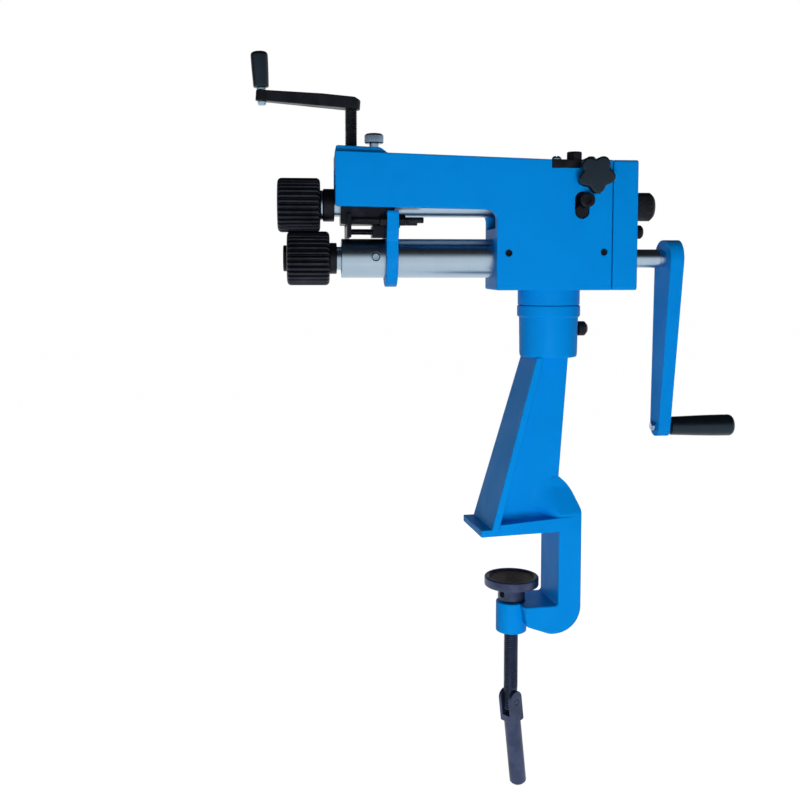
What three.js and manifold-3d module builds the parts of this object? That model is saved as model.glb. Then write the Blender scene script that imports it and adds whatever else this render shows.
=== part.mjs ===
// Hand cranked bead roller with a bench clamp, in millimetres, +Z up.
// X runs along the two roll shafts: the rolls are at -X and the main crank is at +X.
// The origin is the middle of the upper clamp jaw's underside, over the clamp screw.
import * as THREE from 'three';
import { mergeVertices } from 'three/addons/utils/BufferGeometryUtils.js';
import Module from 'manifold-3d';

const wasm = await Module();
wasm.setup();

// Overall layout
const shaftHeight = 262;
const shaftSpacing = 50;
const clampReach = 40;
const headTurnDegrees = 6.5;
const headDepth = 62;
const armLength = 150;
const throatX = -61.5;
const throatDepth = 175;
const rollOffset = 8.5;
const seamX = 48.5;
const coverLength = 24.5;

// Clearances
const seatGap = 0.3;
const turnGap = 0.4;
const slideGap = 1.5;

// Head casting
const bodyFloorZ = -30;
const bodyTopZ = 92;
const armFrontTopZ = 98;
const armTaperEndX = -11;
const armUnderZ = 47.7;
const armUnderDrop = 2.5;
const throatFillet = 10;
const wallThickness = 8;
const tunnelFloorZ = 28;
const bossTopZ = 104;
const bossLength = 42;
const bossDepth = 46;
const bossRunout = 9;
const neckRadius = 29.8;
const neckHeight = 14.6;
const spigotRadius = 22;
const spigotLength = 46;
const swivelX = -4.6;

// Bridge plate and rear adjuster
const bridgeStartX = -10;
const bridgeLength = 44;
const bridgeThickness = 8;
const hexBoltAcross = 14;
const hexBoltHead = 10.2;
const hexBoltShankRadius = 4;
const plateScrewRadius = 4.6;
const plateScrewHeadHeight = 3.3;
const plateScrewInset = 5.5;

// Rear window, its retaining screw and the star knob
const pivotX = 19.2;
const pivotZ = 43.8;
const trunnionRadius = 6.5;
const windowRadius = 7;
const windowRise = 11.4;
const keeperX = 22.5;
const keeperZ = 53.9;
const keeperHeadRadius = 7;
const keeperHeadHeight = 8;
const keeperShankRadius = 3.4;
const keeperGrip = 7;
const starX = 28;
const starZ = 77;
const starRadius = 18;
const starWaist = 13.5;
const starTurn = -0.22;
const starThickness = 10;
const starStandOff = 9;
const starHubRadius = 7.5;
const starStudRadius = 3.9;

// Rear gear cover
const coverWall = 4;
const coverSkin = 2.6;
const coverCorner = 3;
const coverBoltY = 20;
const coverBoltRadius = 3;
const coverBoltHeadRadius = 6.5;
const coverBoltHeadHeight = 6;
const coverWasherRadius = 8;
const coverWasherThickness = 1.6;

// Roll shafts
const shaftRadius = 11;
const rollSeatRadius = 10;
const shaftTailRadius = 9;
const shaftTailStartX = 45;
const crankSeatRadius = 8;
const crankSeatX = 104;
const bushRadius = 14;
const bushLength = 20;

// Crimping rolls
const rollRadius = 25.5;
const rollWidth = 40;
const rollTeeth = 30;
const rollCrestRadius = 1.7;
const rollCrestSpread = 62;
const rollToothDepth = 2.7;
const rollEndRound = 4;
const rollNutRadius = 12.3;
const rollNutThickness = 3.5;
const rollRecessRadius = 14;
const rollRecessDepth = 5;

// Collars and spacer behind the rolls
const lowerCollarRadius = 14.7;
const upperCollarRadius = 15.4;
const upperCollarLength = 10.5;
const spacerRadius = 14;
const spacerLength = 2.6;

// Gear pair
const gearTeeth = 20;
const gearAddendum = 1.8;
const gearDedendum = 3.1;
const gearBacklash = 1.45;
const gearFlankSlope = 0.42;
const gearFace = 10;
const gearStartX = 50.5;
const gearHubRadius = 15;
const gearHubLength = 3;

// Lower tube
const tubeRadius = 18.5;
const tubeOverhang = 144;
const tubeInsert = 55;
const tubeScrewX = -173.5;
const setScrewRadius = 3.2;
const grubDepth = 2;
const grubSocketAcross = 3.2;

// Front bearing block
const blockStartX = -206.2;
const blockLength = 50.2;
const blockFloorZ = 31.5;
const blockTopZ = 70.5;
const oilRecessX = -179;
const oilRecessRadius = 11;
const oilRecessDepth = 1.5;
const frontBushRadius = 15;

// Rear bearing block
const rearBlockLength = 28;
const rearBlockFloorZ = 32;
const rearBlockTopZ = 82;

// Pressure screw and its crank
const pressX = -195.6;
const pressScrewRadius = 5.8;
const pressFootRadius = 8;
const pressFootHeight = 5;
const pressTravel = 5;
const pressCrankZ = 145;
const pressCrankLength = 83.5;
const pressCrankTiltDegrees = 4.2;
const pressGripLeanDegrees = 7.2;
const pressHubRadius = 8.8;
const pressEndRadius = 5.5;
const pressHubHeight = 11;
const pressEndHeight = 10;
const pressGripRadius = 8;
const pressGripFootRadius = 7.2;
const pressGripLength = 35.5;
const pressGripShoulder = 1.6;
const gripBoltRadius = 3;
const gripShoulderRadius = 4.2;
const gripShoulder = 2.4;

// Knurled thumb screw and lift spring
const thumbX = -174;
const thumbHeadRadius = 9;
const thumbHeadHeight = 9.4;
const thumbHeadGap = 4;
const thumbCollarRadius = 4.4;
const thumbShankRadius = 3.8;
const thumbKnurls = 18;
const thumbReach = 4.6;
const springRadius = 6.6;
const springWire = 1.5;
const springTurns = 4;
const springSeatDepth = 14;

// Main crank
const crankStartX = 110.5;
const crankThickness = 13.2;
const crankLength = 169.7;
const crankHubRadius = 18;
const crankEndRadius = 10;
const crankSwingDegrees = 7.2;
const crankGripRadius = 10.75;
const crankGripFootRadius = 9.25;
const crankGripLength = 66;
const crankBoltHeadRadius = 4.6;
const crankBoltHeadHeight = 4;
const crankEndScrewRadius = 7.4;
const crankEndScrewSink = 6;
const crankEndShankRadius = 3;
const crankEndShankLength = 16;

// Axial adjusting knob
const axialKnobRadius = 13.75;
const axialKnobStart = 1.2;
const axialKnobLength = 23.8;
const axialKnobNeckRadius = 10.5;
const axialKnobBoreRadius = 8.6;
const axialPlugRadius = 6.6;
const axialKnurls = 22;
const axialTravelBack = 5;
const axialNeckInset = 1;

// Fence
const bracketX = -164;
const bracketThickness = 11;
const bracketRingRadius = 27;
const bracketEarY = 33;
const bracketEarTopZ = 44;
const bracketNotchZ = 29.5;
const fencePlateX = -201;
const fencePlateThickness = 4;
const fencePlateHalfWidth = 36;
const fencePlateFloorZ = 19.2;
const fenceBridgeTopZ = 30;
const fencePlateTopZ = 42;
const rodY = 27.5;
const rodZ = 35;
const rodRadius = 3;
const rodEndX = -130;
const nutAcross = 10;
const nutHeight = 6;
const guidePinZ = 25;
const guideBlockLength = 12.5;
const guideBlockHalf = 15;
const guideBlockHeight = 11.2;
const pinReach = 8;

// Pedestal
const socketRadius = 28.4;
const socketRimRadius = 30.3;
const socketRimHeight = 10.4;
const socketLength = 50;
const socketFloor = 4;
const flangeThickness = 7;
const flangeTopWidth = 48;
const flangeFootWidth = 65;
const flangeTopX = -24;
const flangeFootX = -70;
const webThickness = 16;
const webBackTopX = 13.5;
const webBackFootX = 5;
const lockBoltDrop = 23.4;
const lockBoltRadius = 4.9;
const lockBoltHeadRadius = 7.1;
const lockBoltHeadLength = 10;

// Clamp frame
const jawThickness = 6.6;
const jawTipX = -80.5;
const frameDepth = 52;
const spineInnerX = -0.8;
const spineThickness = 23.1;
const shoulderZ = 50;
const shoulderBend = [14.5, 41.5];
const shoulderFootZ = 20;
const mouthHeight = 73;
const lowerJawDrop = 27.7;
const screwBossRadius = 15;
const screwBossLength = 29.7;
const lowerJawEndX = 7;
const rampFootZ = 16;

// Clamp screw, pad and handle
const clampScrewRadius = 7;
const padRadius = 26.5;
const padThickness = 9;
const padTopZ = -48.3;
const padRecess = 1.2;
const padHubRadius = 13.2;
const padHubLength = 14;
const padScrewTurnDegrees = -62;
const handlePinZ = -174;
const handleTurnDegrees = 30;
const handleTiltDegrees = 8;
const handleRodRadius = 8.2;
const handleLength = 89;
const clevisHalfWidth = 8.2;
const clevisCheek = 3.4;
const clevisLength = 32;
const clevisTop = 11;
const handlePinRadius = 3;

// Values that follow from the driving dimensions
const headHalf = headDepth / 2;
const armFrontX = throatX - armLength;
const lowerRollX = throatX - throatDepth;
const upperRollX = lowerRollX - rollOffset;
const tunnelHalf = headHalf - wallThickness;
const tunnelTopZ = bodyTopZ - wallThickness;
const blockHalf = tunnelHalf - slideGap;
const coverEndX = seamX + coverLength;
const coverInnerEndX = coverEndX - coverWall;
const coverInnerHalf = headHalf - coverSkin;
const upperShaftEndX = coverInnerEndX + axialNeckInset - axialTravelBack - 0.7;
const tubeStartX = throatX - tubeOverhang;
const tubeEndX = throatX + tubeInsert;
const headTurn = THREE.MathUtils.degToRad(headTurnDegrees);
const pitchRadius = shaftSpacing / 2;
const spineOuterX = spineInnerX + spineThickness;
const frameHalf = frameDepth / 2;
const socketTopZ = shaftHeight + bodyFloorZ - neckHeight;
const socketFloorZ = socketTopZ - socketLength;
const lockBoltZ = socketTopZ - lockBoltDrop;
const lowerShaftEndX = crankStartX + crankThickness - crankEndScrewSink;
const lowerJawZ = -mouthHeight;
const pressGripLean = THREE.MathUtils.degToRad(pressGripLeanDegrees);
const pressGripSeat = pressEndHeight / 2 / Math.cos(pressGripLean) + (gripBoltRadius + 2) * Math.tan(pressGripLean);
const tubeLockPlace = [throatX + 11.4, 4.8];
const bushLockPlace = [seamX - 7.8, 5.8];

// Finishes
const finish = (color, roughness, metalness) => new THREE.MeshStandardMaterial({ color, roughness, metalness });
const bluePaint = finish(0x159bdc, 0.42, 0);
const blackOxide = finish(0x23252b, 0.45, 0.7);
const blackPlastic = finish(0x17181b, 0.55, 0);
const groundSteel = finish(0xb9bec4, 0.3, 0.9);
const zincSteel = finish(0xc9ced3, 0.32, 0.9);
const darkPaint = finish(0x2a2a2c, 0.6, 0.1);
const bronze = finish(0xa9772f, 0.4, 0.8);

// Joining and cutting
function solidOf(geometry) {
  const bare = geometry.clone();
  bare.deleteAttribute('normal');
  bare.deleteAttribute('uv');
  const welded = mergeVertices(bare, 1e-4);
  const index = welded.index.array;
  const kept = [];
  for (let i = 0; i < index.length; i += 3) {
    const [a, b, c] = [index[i], index[i + 1], index[i + 2]];
    if (a !== b && b !== c && c !== a) {
      kept.push(a, b, c);
    }
  }
  const points = new Float32Array(welded.attributes.position.array);
  if (signedVolume(points, kept) < 0) {
    for (let i = 0; i < kept.length; i += 3) {
      [kept[i + 1], kept[i + 2]] = [kept[i + 2], kept[i + 1]];
    }
  }
  const mesh = new wasm.Mesh({ numProp: 3, vertProperties: points, triVerts: new Uint32Array(kept) });
  return new wasm.Manifold(mesh);
}

function signedVolume(points, index) {
  const a = new THREE.Vector3();
  const b = new THREE.Vector3();
  const c = new THREE.Vector3();
  let volume = 0;
  for (let i = 0; i < index.length; i += 3) {
    a.fromArray(points, 3 * index[i]);
    b.fromArray(points, 3 * index[i + 1]);
    c.fromArray(points, 3 * index[i + 2]);
    volume += a.dot(b.cross(c)) / 6;
  }
  return volume;
}

function joined(first, ...others) {
  return others.reduce((sum, other) => sum.add(other), first);
}

function cut(body, ...tools) {
  return tools.reduce((rest, tool) => rest.subtract(tool), body);
}

function geometryOf(solid) {
  const mesh = solid.getMesh();
  const geometry = new THREE.BufferGeometry();
  const points = new Float32Array(mesh.numVert * 3);
  for (let i = 0; i < mesh.numVert; i += 1) {
    for (let k = 0; k < 3; k += 1) {
      points[3 * i + k] = mesh.vertProperties[mesh.numProp * i + k];
    }
  }
  geometry.setAttribute('position', new THREE.BufferAttribute(points, 3));
  geometry.setIndex(Array.from(mesh.triVerts));
  geometry.computeVertexNormals();
  return geometry;
}

function part(name, solid, material) {
  const mesh = new THREE.Mesh(geometryOf(solid), material);
  mesh.name = name;
  return mesh;
}

// Basic solids
function box(x0, x1, y0, y1, z0, z1) {
  const geometry = new THREE.BoxGeometry(x1 - x0, y1 - y0, z1 - z0);
  geometry.translate((x0 + x1) / 2, (y0 + y1) / 2, (z0 + z1) / 2);
  return solidOf(geometry);
}

function alongX(geometry) {
  return geometry.rotateZ(-Math.PI / 2);
}

function alongZ(geometry) {
  return geometry.rotateX(Math.PI / 2);
}

function rod(axis, start, end, radius, u, v, sides = 18) {
  const geometry = new THREE.CylinderGeometry(radius, radius, end - start, sides);
  const middle = (start + end) / 2;
  if (axis === 'x') {
    alongX(geometry).translate(middle, u, v);
  } else if (axis === 'y') {
    geometry.translate(u, middle, v);
  } else {
    alongZ(geometry).translate(u, v, middle);
  }
  return solidOf(geometry);
}

function turned(axis, profile, u, v, sides = 18) {
  const points = profile.map(([along, radius]) => new THREE.Vector2(radius, along));
  const geometry = new THREE.LatheGeometry(points, sides);
  if (axis === 'x') {
    alongX(geometry).translate(0, u, v);
  } else if (axis === 'y') {
    geometry.translate(u, 0, v);
  } else {
    alongZ(geometry).translate(u, v, 0);
  }
  return solidOf(geometry);
}

function plate(shape, thickness, plane, middle, curveSegments = 4, bevel = 0) {
  const geometry = new THREE.ExtrudeGeometry(shape, {
    depth: thickness - 2 * bevel,
    bevelEnabled: bevel > 0,
    bevelThickness: bevel,
    bevelSize: bevel,
    bevelOffset: -bevel,
    bevelSegments: 1,
    curveSegments,
  });
  geometry.translate(0, 0, -(thickness - 2 * bevel) / 2);
  if (plane === 'xz') {
    geometry.rotateX(Math.PI / 2).translate(0, middle, 0);
  } else if (plane === 'yz') {
    geometry.rotateX(Math.PI / 2).rotateZ(Math.PI / 2).translate(middle, 0, 0);
  } else {
    geometry.translate(0, 0, middle);
  }
  return solidOf(geometry);
}

function outline(points) {
  return new THREE.Shape(points.map(([x, y]) => new THREE.Vector2(x, y)));
}

function roundedOutline(corners) {
  const shape = new THREE.Shape();
  corners.forEach(([x, y, radius], i) => {
    const before = corners[(i + corners.length - 1) % corners.length];
    const after = corners[(i + 1) % corners.length];
    const here = new THREE.Vector2(x, y);
    const back = new THREE.Vector2(before[0], before[1]).sub(here).normalize();
    const ahead = new THREE.Vector2(after[0], after[1]).sub(here).normalize();
    const half = Math.acos(THREE.MathUtils.clamp(back.dot(ahead), -1, 1)) / 2;
    const reach = radius > 0 ? radius / Math.tan(half) : 0;
    const start = here.clone().addScaledVector(back, reach);
    const end = here.clone().addScaledVector(ahead, reach);
    if (i === 0) {
      shape.moveTo(start.x, start.y);
    } else {
      shape.lineTo(start.x, start.y);
    }
    if (radius > 0) {
      shape.quadraticCurveTo(here.x, here.y, end.x, end.y);
    }
  });
  shape.closePath();
  return shape;
}

function linkOutline(length, bigRadius, smallRadius) {
  const lean = Math.acos((bigRadius - smallRadius) / length);
  const shape = new THREE.Shape();
  shape.absarc(0, 0, bigRadius, lean, 2 * Math.PI - lean, false);
  shape.absarc(length, 0, smallRadius, -lean, lean, false);
  shape.closePath();
  return shape;
}

function hexagon(across, turn = 0) {
  const radius = across / Math.sqrt(3);
  const corners = Array.from({ length: 6 }, (_, i) => {
    const angle = (i * Math.PI) / 3 + turn;
    return [radius * Math.cos(angle), radius * Math.sin(angle)];
  });
  return outline(corners);
}

// Star shaped solids: every station is a ring of points round the X axis, closed by a fan at each end
function ringSolid(polar, stations) {
  const count = polar.length;
  const positions = [];
  stations.forEach(([x, limit]) => {
    polar.forEach(([angle, radius]) => {
      const r = Math.min(radius, limit);
      positions.push(x, r * Math.cos(angle), r * Math.sin(angle));
    });
  });
  const first = positions.length / 3;
  positions.push(stations[0][0], 0, 0);
  positions.push(stations[stations.length - 1][0], 0, 0);
  const index = [];
  for (let s = 0; s + 1 < stations.length; s += 1) {
    for (let i = 0; i < count; i += 1) {
      const a = s * count + i;
      const b = s * count + ((i + 1) % count);
      index.push(a, b, a + count);
      index.push(b, b + count, a + count);
    }
  }
  const last = (stations.length - 1) * count;
  for (let i = 0; i < count; i += 1) {
    const j = (i + 1) % count;
    index.push(first, j, i);
    index.push(first + 1, last + i, last + j);
  }
  const geometry = new THREE.BufferGeometry();
  geometry.setAttribute('position', new THREE.Float32BufferAttribute(positions, 3));
  geometry.setIndex(index);
  return solidOf(geometry);
}

function rollProfile(radius, phase) {
  const step = (2 * Math.PI) / rollTeeth;
  const centre = radius - rollCrestRadius;
  const crest = [-rollCrestSpread, 0, rollCrestSpread].map((degrees) => THREE.MathUtils.degToRad(degrees));
  const polar = [];
  for (let tooth = 0; tooth < rollTeeth; tooth += 1) {
    const middle = tooth * step + phase;
    crest.forEach((around) => {
      const along = centre + rollCrestRadius * Math.cos(around);
      const across = rollCrestRadius * Math.sin(around);
      polar.push([middle + Math.atan2(across, along), Math.hypot(along, across)]);
    });
    polar.push([middle + step / 2, radius - rollToothDepth]);
  }
  return polar;
}

function gearProfile(phase) {
  const step = (2 * Math.PI) / gearTeeth;
  const pitchHalf = step / 4 - gearBacklash / (4 * pitchRadius);
  const tipHalf = pitchHalf - (gearAddendum * gearFlankSlope) / pitchRadius;
  const rootHalf = pitchHalf + (gearDedendum * gearFlankSlope) / pitchRadius;
  const tip = pitchRadius + gearAddendum;
  const root = pitchRadius - gearDedendum;
  const polar = [];
  for (let tooth = 0; tooth < gearTeeth; tooth += 1) {
    const middle = tooth * step + phase;
    polar.push([middle - rootHalf, root]);
    polar.push([middle - tipHalf, tip]);
    polar.push([middle + tipHalf, tip]);
    polar.push([middle + rootHalf, root]);
  }
  return polar;
}

function wavyProfile(count, radius, depth) {
  const polar = [];
  for (let i = 0; i < 2 * count; i += 1) {
    polar.push([(i * Math.PI) / count, i % 2 === 0 ? radius : radius - depth]);
  }
  return polar;
}

function lobedProfile(lobes, radius, waist, turn) {
  const polar = [];
  const steps = lobes * 8;
  for (let i = 0; i < steps; i += 1) {
    const angle = (i * 2 * Math.PI) / steps;
    const wave = 0.5 + 0.5 * Math.cos(lobes * (angle - turn));
    polar.push([angle, waist + (radius - waist) * Math.pow(wave, 0.75)]);
  }
  return polar;
}

// Head casting
function headCasting() {
  const arm = plate(roundedOutline([
    [armFrontX, armUnderZ, 4],
    [throatX, armUnderZ - armUnderDrop, throatFillet],
    [throatX, bodyFloorZ, 2],
    [seamX, bodyFloorZ, 0],
    [seamX, bodyTopZ, 0],
    [armTaperEndX, bodyTopZ, 0],
    [armFrontX, armFrontTopZ, 1.5],
  ]), headDepth, 'xz', 0, 5);
  const bossEndX = armFrontX + bossLength;
  const boss = plate(roundedOutline([
    [armFrontX + 0.8, bodyTopZ, 0],
    [bossEndX + bossRunout, bodyTopZ, 0],
    [bossEndX + bossRunout * 0.8, armFrontTopZ - 1, 3],
    [bossEndX, bossTopZ - 1.6, 5],
    [armFrontX + 0.8, bossTopZ, 2],
  ]), bossDepth, 'xz', 0, 5);
  const neck = turned('z', [
    [bodyFloorZ - neckHeight - spigotLength, 0],
    [bodyFloorZ - neckHeight - spigotLength, spigotRadius - 1.5],
    [bodyFloorZ - neckHeight - spigotLength + 1.5, spigotRadius],
    [bodyFloorZ - neckHeight, spigotRadius],
    [bodyFloorZ - neckHeight, neckRadius],
    [bodyFloorZ + 2, neckRadius],
    [bodyFloorZ + 2, 0],
  ], swivelX, 0, 28);
  const armChannel = box(armFrontX - 1, throatX - wallThickness, -tunnelHalf, tunnelHalf, -50, tunnelTopZ);
  const bodyTunnel = box(armFrontX, seamX + 1, -tunnelHalf, tunnelHalf, tunnelFloorZ, tunnelTopZ);
  const bridgeSeat = box(bridgeStartX, bridgeStartX + bridgeLength, -headHalf - 1, headHalf + 1,
    tunnelTopZ, bodyTopZ + 1);
  const tubeBore = rod('x', throatX - 20, tubeEndX, tubeRadius + seatGap / 2, 0, 0, 28);
  const shaftBore = rod('x', tubeEndX - 1, seamX + 1, shaftRadius + 2, 0, 0);
  const bushSeat = rod('x', seamX - bushLength, seamX + 1, bushRadius + seatGap / 2, 0, 0);
  const pressThread = rod('z', tunnelTopZ - 1, bossTopZ + 1, pressScrewRadius + turnGap, pressX, 0, 20);
  const thumbHole = rod('z', tunnelTopZ - 1, bossTopZ + 1, thumbShankRadius + 1.8, thumbX, 0, 16);
  const springSeat = rod('z', bossTopZ - springSeatDepth, bossTopZ + 1, springRadius + 1, thumbX, 0, 20);
  const starHole = rod('y', -headHalf - 1, -tunnelHalf + 1, starStudRadius + seatGap, starX, starZ, 16);
  const grubHoles = [tubeLockPlace, bushLockPlace].map(([x, z]) => (
    rod('y', -headHalf - 1, -bushRadius, setScrewRadius + seatGap / 2, x, z, 16)));
  return cut(joined(arm, boss, neck), armChannel, bodyTunnel, bridgeSeat, tubeBore, shaftBore, bushSeat,
    pressThread, thumbHole, springSeat, starHole, trunnionWindow(-1), trunnionWindow(1), ...grubHoles);
}

function trunnionWindow(side) {
  const foot = [side * (tunnelHalf - 1), side * (headHalf + 1)].sort((a, b) => a - b);
  const low = rod('y', foot[0], foot[1], windowRadius, pivotX, pivotZ, 20);
  const high = rod('y', foot[0], foot[1], windowRadius, pivotX, pivotZ + windowRise, 20);
  const middle = box(pivotX - windowRadius, pivotX + windowRadius, foot[0], foot[1],
    pivotZ, pivotZ + windowRise);
  return joined(low, high, middle);
}

function bodyGrubScrew([x, z], heldRadius) {
  const start = -headHalf + grubDepth;
  const screw = rod('y', start, -heldRadius - seatGap, setScrewRadius, x, z, 16);
  const socket = plate(hexagon(grubSocketAcross), 3, 'xz', start, 4).translate([x, 0, z]);
  return cut(screw, socket);
}

function rearCover() {
  const x0 = seamX + seatGap / 2;
  const shell = plate(roundedOutline([
    [-headHalf, bodyFloorZ, coverCorner],
    [headHalf, bodyFloorZ, coverCorner],
    [headHalf, bodyTopZ, coverCorner],
    [-headHalf, bodyTopZ, coverCorner],
  ]), coverEndX - x0, 'yz', (x0 + coverEndX) / 2, 3);
  const cavity = box(x0 - 1, coverInnerEndX, -coverInnerHalf, coverInnerHalf,
    bodyFloorZ + coverSkin, bodyTopZ - wallThickness);
  const lowerHole = rod('x', coverInnerEndX - 1, coverEndX + 1, shaftTailRadius + turnGap, 0, 0);
  const upperHole = rod('x', coverInnerEndX - 1, coverEndX + 1, axialKnobNeckRadius + turnGap, 0, shaftSpacing);
  const boltHoles = [-coverBoltY, coverBoltY].map((y) => (
    rod('x', coverInnerEndX - 1, coverEndX + 1, coverBoltRadius + seatGap / 2, y, pitchRadius, 16)));
  return cut(shell, cavity, lowerHole, upperHole, ...boltHoles);
}

function coverBolt(y) {
  const headX = coverEndX + coverWasherThickness;
  return turned('x', [
    [seamX + seatGap / 2, 0],
    [seamX + seatGap / 2, coverBoltRadius],
    [coverEndX, coverBoltRadius],
    [coverEndX, coverWasherRadius],
    [headX, coverWasherRadius],
    [headX, coverBoltHeadRadius],
    [headX + coverBoltHeadHeight - 1.5, coverBoltHeadRadius],
    [headX + coverBoltHeadHeight, coverBoltHeadRadius - 1.5],
    [headX + coverBoltHeadHeight, 0],
  ], y, pitchRadius, 16);
}

function bridgePlate() {
  const slab = box(bridgeStartX + seatGap / 2, bridgeStartX + bridgeLength - seatGap / 2, -headHalf, headHalf,
    tunnelTopZ, tunnelTopZ + bridgeThickness);
  const hole = rod('z', tunnelTopZ - 1, tunnelTopZ + bridgeThickness + 1, hexBoltShankRadius + seatGap / 2,
    pivotX, 0, 20);
  const top = tunnelTopZ + bridgeThickness;
  const edge = headHalf - plateScrewInset;
  const ends = [bridgeStartX + plateScrewInset, bridgeStartX + bridgeLength - plateScrewInset];
  const screwHeads = ends.flatMap((x) => [-edge, edge].map((y) => turned('z', [
    [top - 1, 0],
    [top - 1, plateScrewRadius],
    [top + plateScrewHeadHeight * 0.5, plateScrewRadius],
    [top + plateScrewHeadHeight, plateScrewRadius * 0.5],
    [top + plateScrewHeadHeight, 0],
  ], x, y, 12)));
  return cut(joined(slab, ...screwHeads), hole);
}

function rearAdjustBolt() {
  const top = tunnelTopZ + bridgeThickness;
  const head = plate(hexagon(hexBoltAcross, 0.3), hexBoltHead, 'xy', top + hexBoltHead / 2, 4);
  const shank = rod('z', rearBlockTopZ + seatGap, top + 1, hexBoltShankRadius, 0, 0, 20);
  return joined(head, shank).translate([pivotX, 0, 0]);
}

function keeperScrew() {
  const face = -headHalf - seatGap;
  const head = turned('y', [
    [face - keeperHeadHeight, 0],
    [face - keeperHeadHeight, keeperHeadRadius - 0.8],
    [face - keeperHeadHeight + 0.8, keeperHeadRadius],
    [face, keeperHeadRadius],
    [face, 0],
  ], keeperX, keeperZ, 20);
  const shank = rod('y', face - 1, keeperGrip - blockHalf, keeperShankRadius, keeperX, keeperZ, 20);
  const socket = plate(hexagon(6.2), 5, 'xz', face - keeperHeadHeight + 1, 4).translate([keeperX, 0, keeperZ]);
  return cut(joined(head, shank), socket);
}

// Lower tube and shaft
function lowerTube() {
  const tube = rod('x', tubeStartX, tubeEndX - seatGap, tubeRadius, 0, 0, 28);
  const bore = rod('x', tubeStartX - 1, tubeEndX + 1, shaftRadius + 2, 0, 0);
  const bushSeat = rod('x', tubeStartX - 1, tubeStartX + bushLength, bushRadius + seatGap / 2, 0, 0);
  const screwHole = rod('y', -tubeRadius - 1, -shaftRadius, setScrewRadius + 1, tubeScrewX, 1.5, 20);
  return cut(tube, bore, bushSeat, screwHole);
}

function bush(startX, length, outer, inner, z) {
  return cut(rod('x', startX, startX + length, outer, 0, z), rod('x', startX - 1, startX + length + 1, inner, 0, z));
}

function tubeSetScrew() {
  const outer = tubeRadius - 0.8;
  const screw = rod('y', -outer, -shaftRadius - 1, setScrewRadius, tubeScrewX, 1.5, 20);
  const socket = plate(hexagon(3.2), 3, 'xz', -outer, 4).translate([tubeScrewX, 0, 1.5]);
  return cut(screw, socket);
}

function lowerShaft() {
  const rollEndX = lowerRollX - rollWidth / 2;
  const bar = turned('x', [
    [rollEndX - rollNutThickness, 0],
    [rollEndX - rollNutThickness, rollSeatRadius - 4],
    [rollEndX, rollSeatRadius - 4],
    [rollEndX, rollSeatRadius],
    [rollEndX + rollWidth, rollSeatRadius],
    [rollEndX + rollWidth, shaftRadius],
    [shaftTailStartX, shaftRadius],
    [shaftTailStartX, shaftTailRadius],
    [crankSeatX, shaftTailRadius],
    [crankSeatX, crankSeatRadius],
    [lowerShaftEndX, crankSeatRadius],
    [lowerShaftEndX, 0],
  ], 0, 0);
  const endHole = rod('x', lowerShaftEndX - crankEndShankLength, lowerShaftEndX + 1, crankEndShankRadius + seatGap / 2,
    0, 0, 12);
  return cut(bar, endHole);
}

function crimpingRoll(middleX, z, phase, recess) {
  const x0 = middleX - rollWidth / 2;
  const x1 = middleX + rollWidth / 2;
  const stations = [
    [x0, rollRadius - rollEndRound],
    [x0 + rollEndRound * 0.8, rollRadius],
    [x1 - rollEndRound * 0.8, rollRadius],
    [x1, rollRadius - rollEndRound],
  ];
  const body = ringSolid(rollProfile(rollRadius, phase), stations).translate([0, 0, z]);
  const bore = rod('x', x0 - 1, x1 + 1, rollSeatRadius + seatGap / 2, 0, z);
  const pocket = rod('x', x0 - 1, x0 + recess, rollRecessRadius, 0, z);
  return recess > 0 ? cut(body, bore, pocket) : cut(body, bore);
}

function rollNut(startX, z) {
  const nut = turned('x', [
    [startX, 0],
    [startX, rollNutRadius - 0.8],
    [startX + 0.8, rollNutRadius],
    [startX + rollNutThickness, rollNutRadius],
    [startX + rollNutThickness, 0],
  ], 0, z);
  return cut(nut, rod('x', startX - 1, startX + rollNutThickness + 1, rollSeatRadius - 4 + seatGap / 2, 0, z, 24));
}

function collar(startX, endX, radius, z) {
  const ring = turned('x', [
    [startX, 0],
    [startX, radius - 0.8],
    [startX + 0.8, radius],
    [endX, radius],
    [endX, 0],
  ], 0, z);
  return cut(ring, rod('x', startX - 1, endX + 1, shaftRadius + seatGap / 2, 0, z));
}

function timingGear(z, phase) {
  const stations = [[gearStartX, 99], [gearStartX + gearFace, 99]];
  const teeth = ringSolid(gearProfile(phase), stations).translate([0, 0, z]);
  const hubEnd = gearStartX + gearFace + gearHubLength;
  const hub = rod('x', gearStartX + 1, hubEnd, gearHubRadius, 0, z);
  return cut(joined(teeth, hub), rod('x', gearStartX - 1, hubEnd + 1, shaftTailRadius + seatGap / 2, 0, z));
}

// Main crank
function crankArm() {
  const arm = plate(linkOutline(crankLength, crankHubRadius, crankEndRadius), crankThickness, 'xy', 0, 8, 1)
    .rotate([0, 90, 0])
    .translate([crankStartX + crankThickness / 2, 0, 0]);
  const hole = rod('x', crankStartX - 1, crankStartX + crankThickness + 1, crankSeatRadius + seatGap / 2, 0, 0);
  const boltHole = rod('x', crankStartX - 1, crankStartX + crankThickness + 1, gripBoltRadius + seatGap / 2,
    0, -crankLength, 12);
  return cut(arm, hole, boltHole);
}

function crankGripBolt() {
  const start = crankStartX - crankBoltHeadHeight;
  const face = crankStartX + crankThickness;
  return turned('x', [
    [start, 0],
    [start, crankBoltHeadRadius - 1],
    [start + 1, crankBoltHeadRadius],
    [crankStartX, crankBoltHeadRadius],
    [crankStartX, gripBoltRadius],
    [face, gripBoltRadius],
    [face, gripShoulderRadius],
    [face + gripShoulder, gripShoulderRadius],
    [face + gripShoulder, gripBoltRadius],
    [face + gripShoulder + crankGripLength - 8, gripBoltRadius],
    [face + gripShoulder + crankGripLength - 8, 0],
  ], 0, -crankLength, 12);
}

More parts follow.
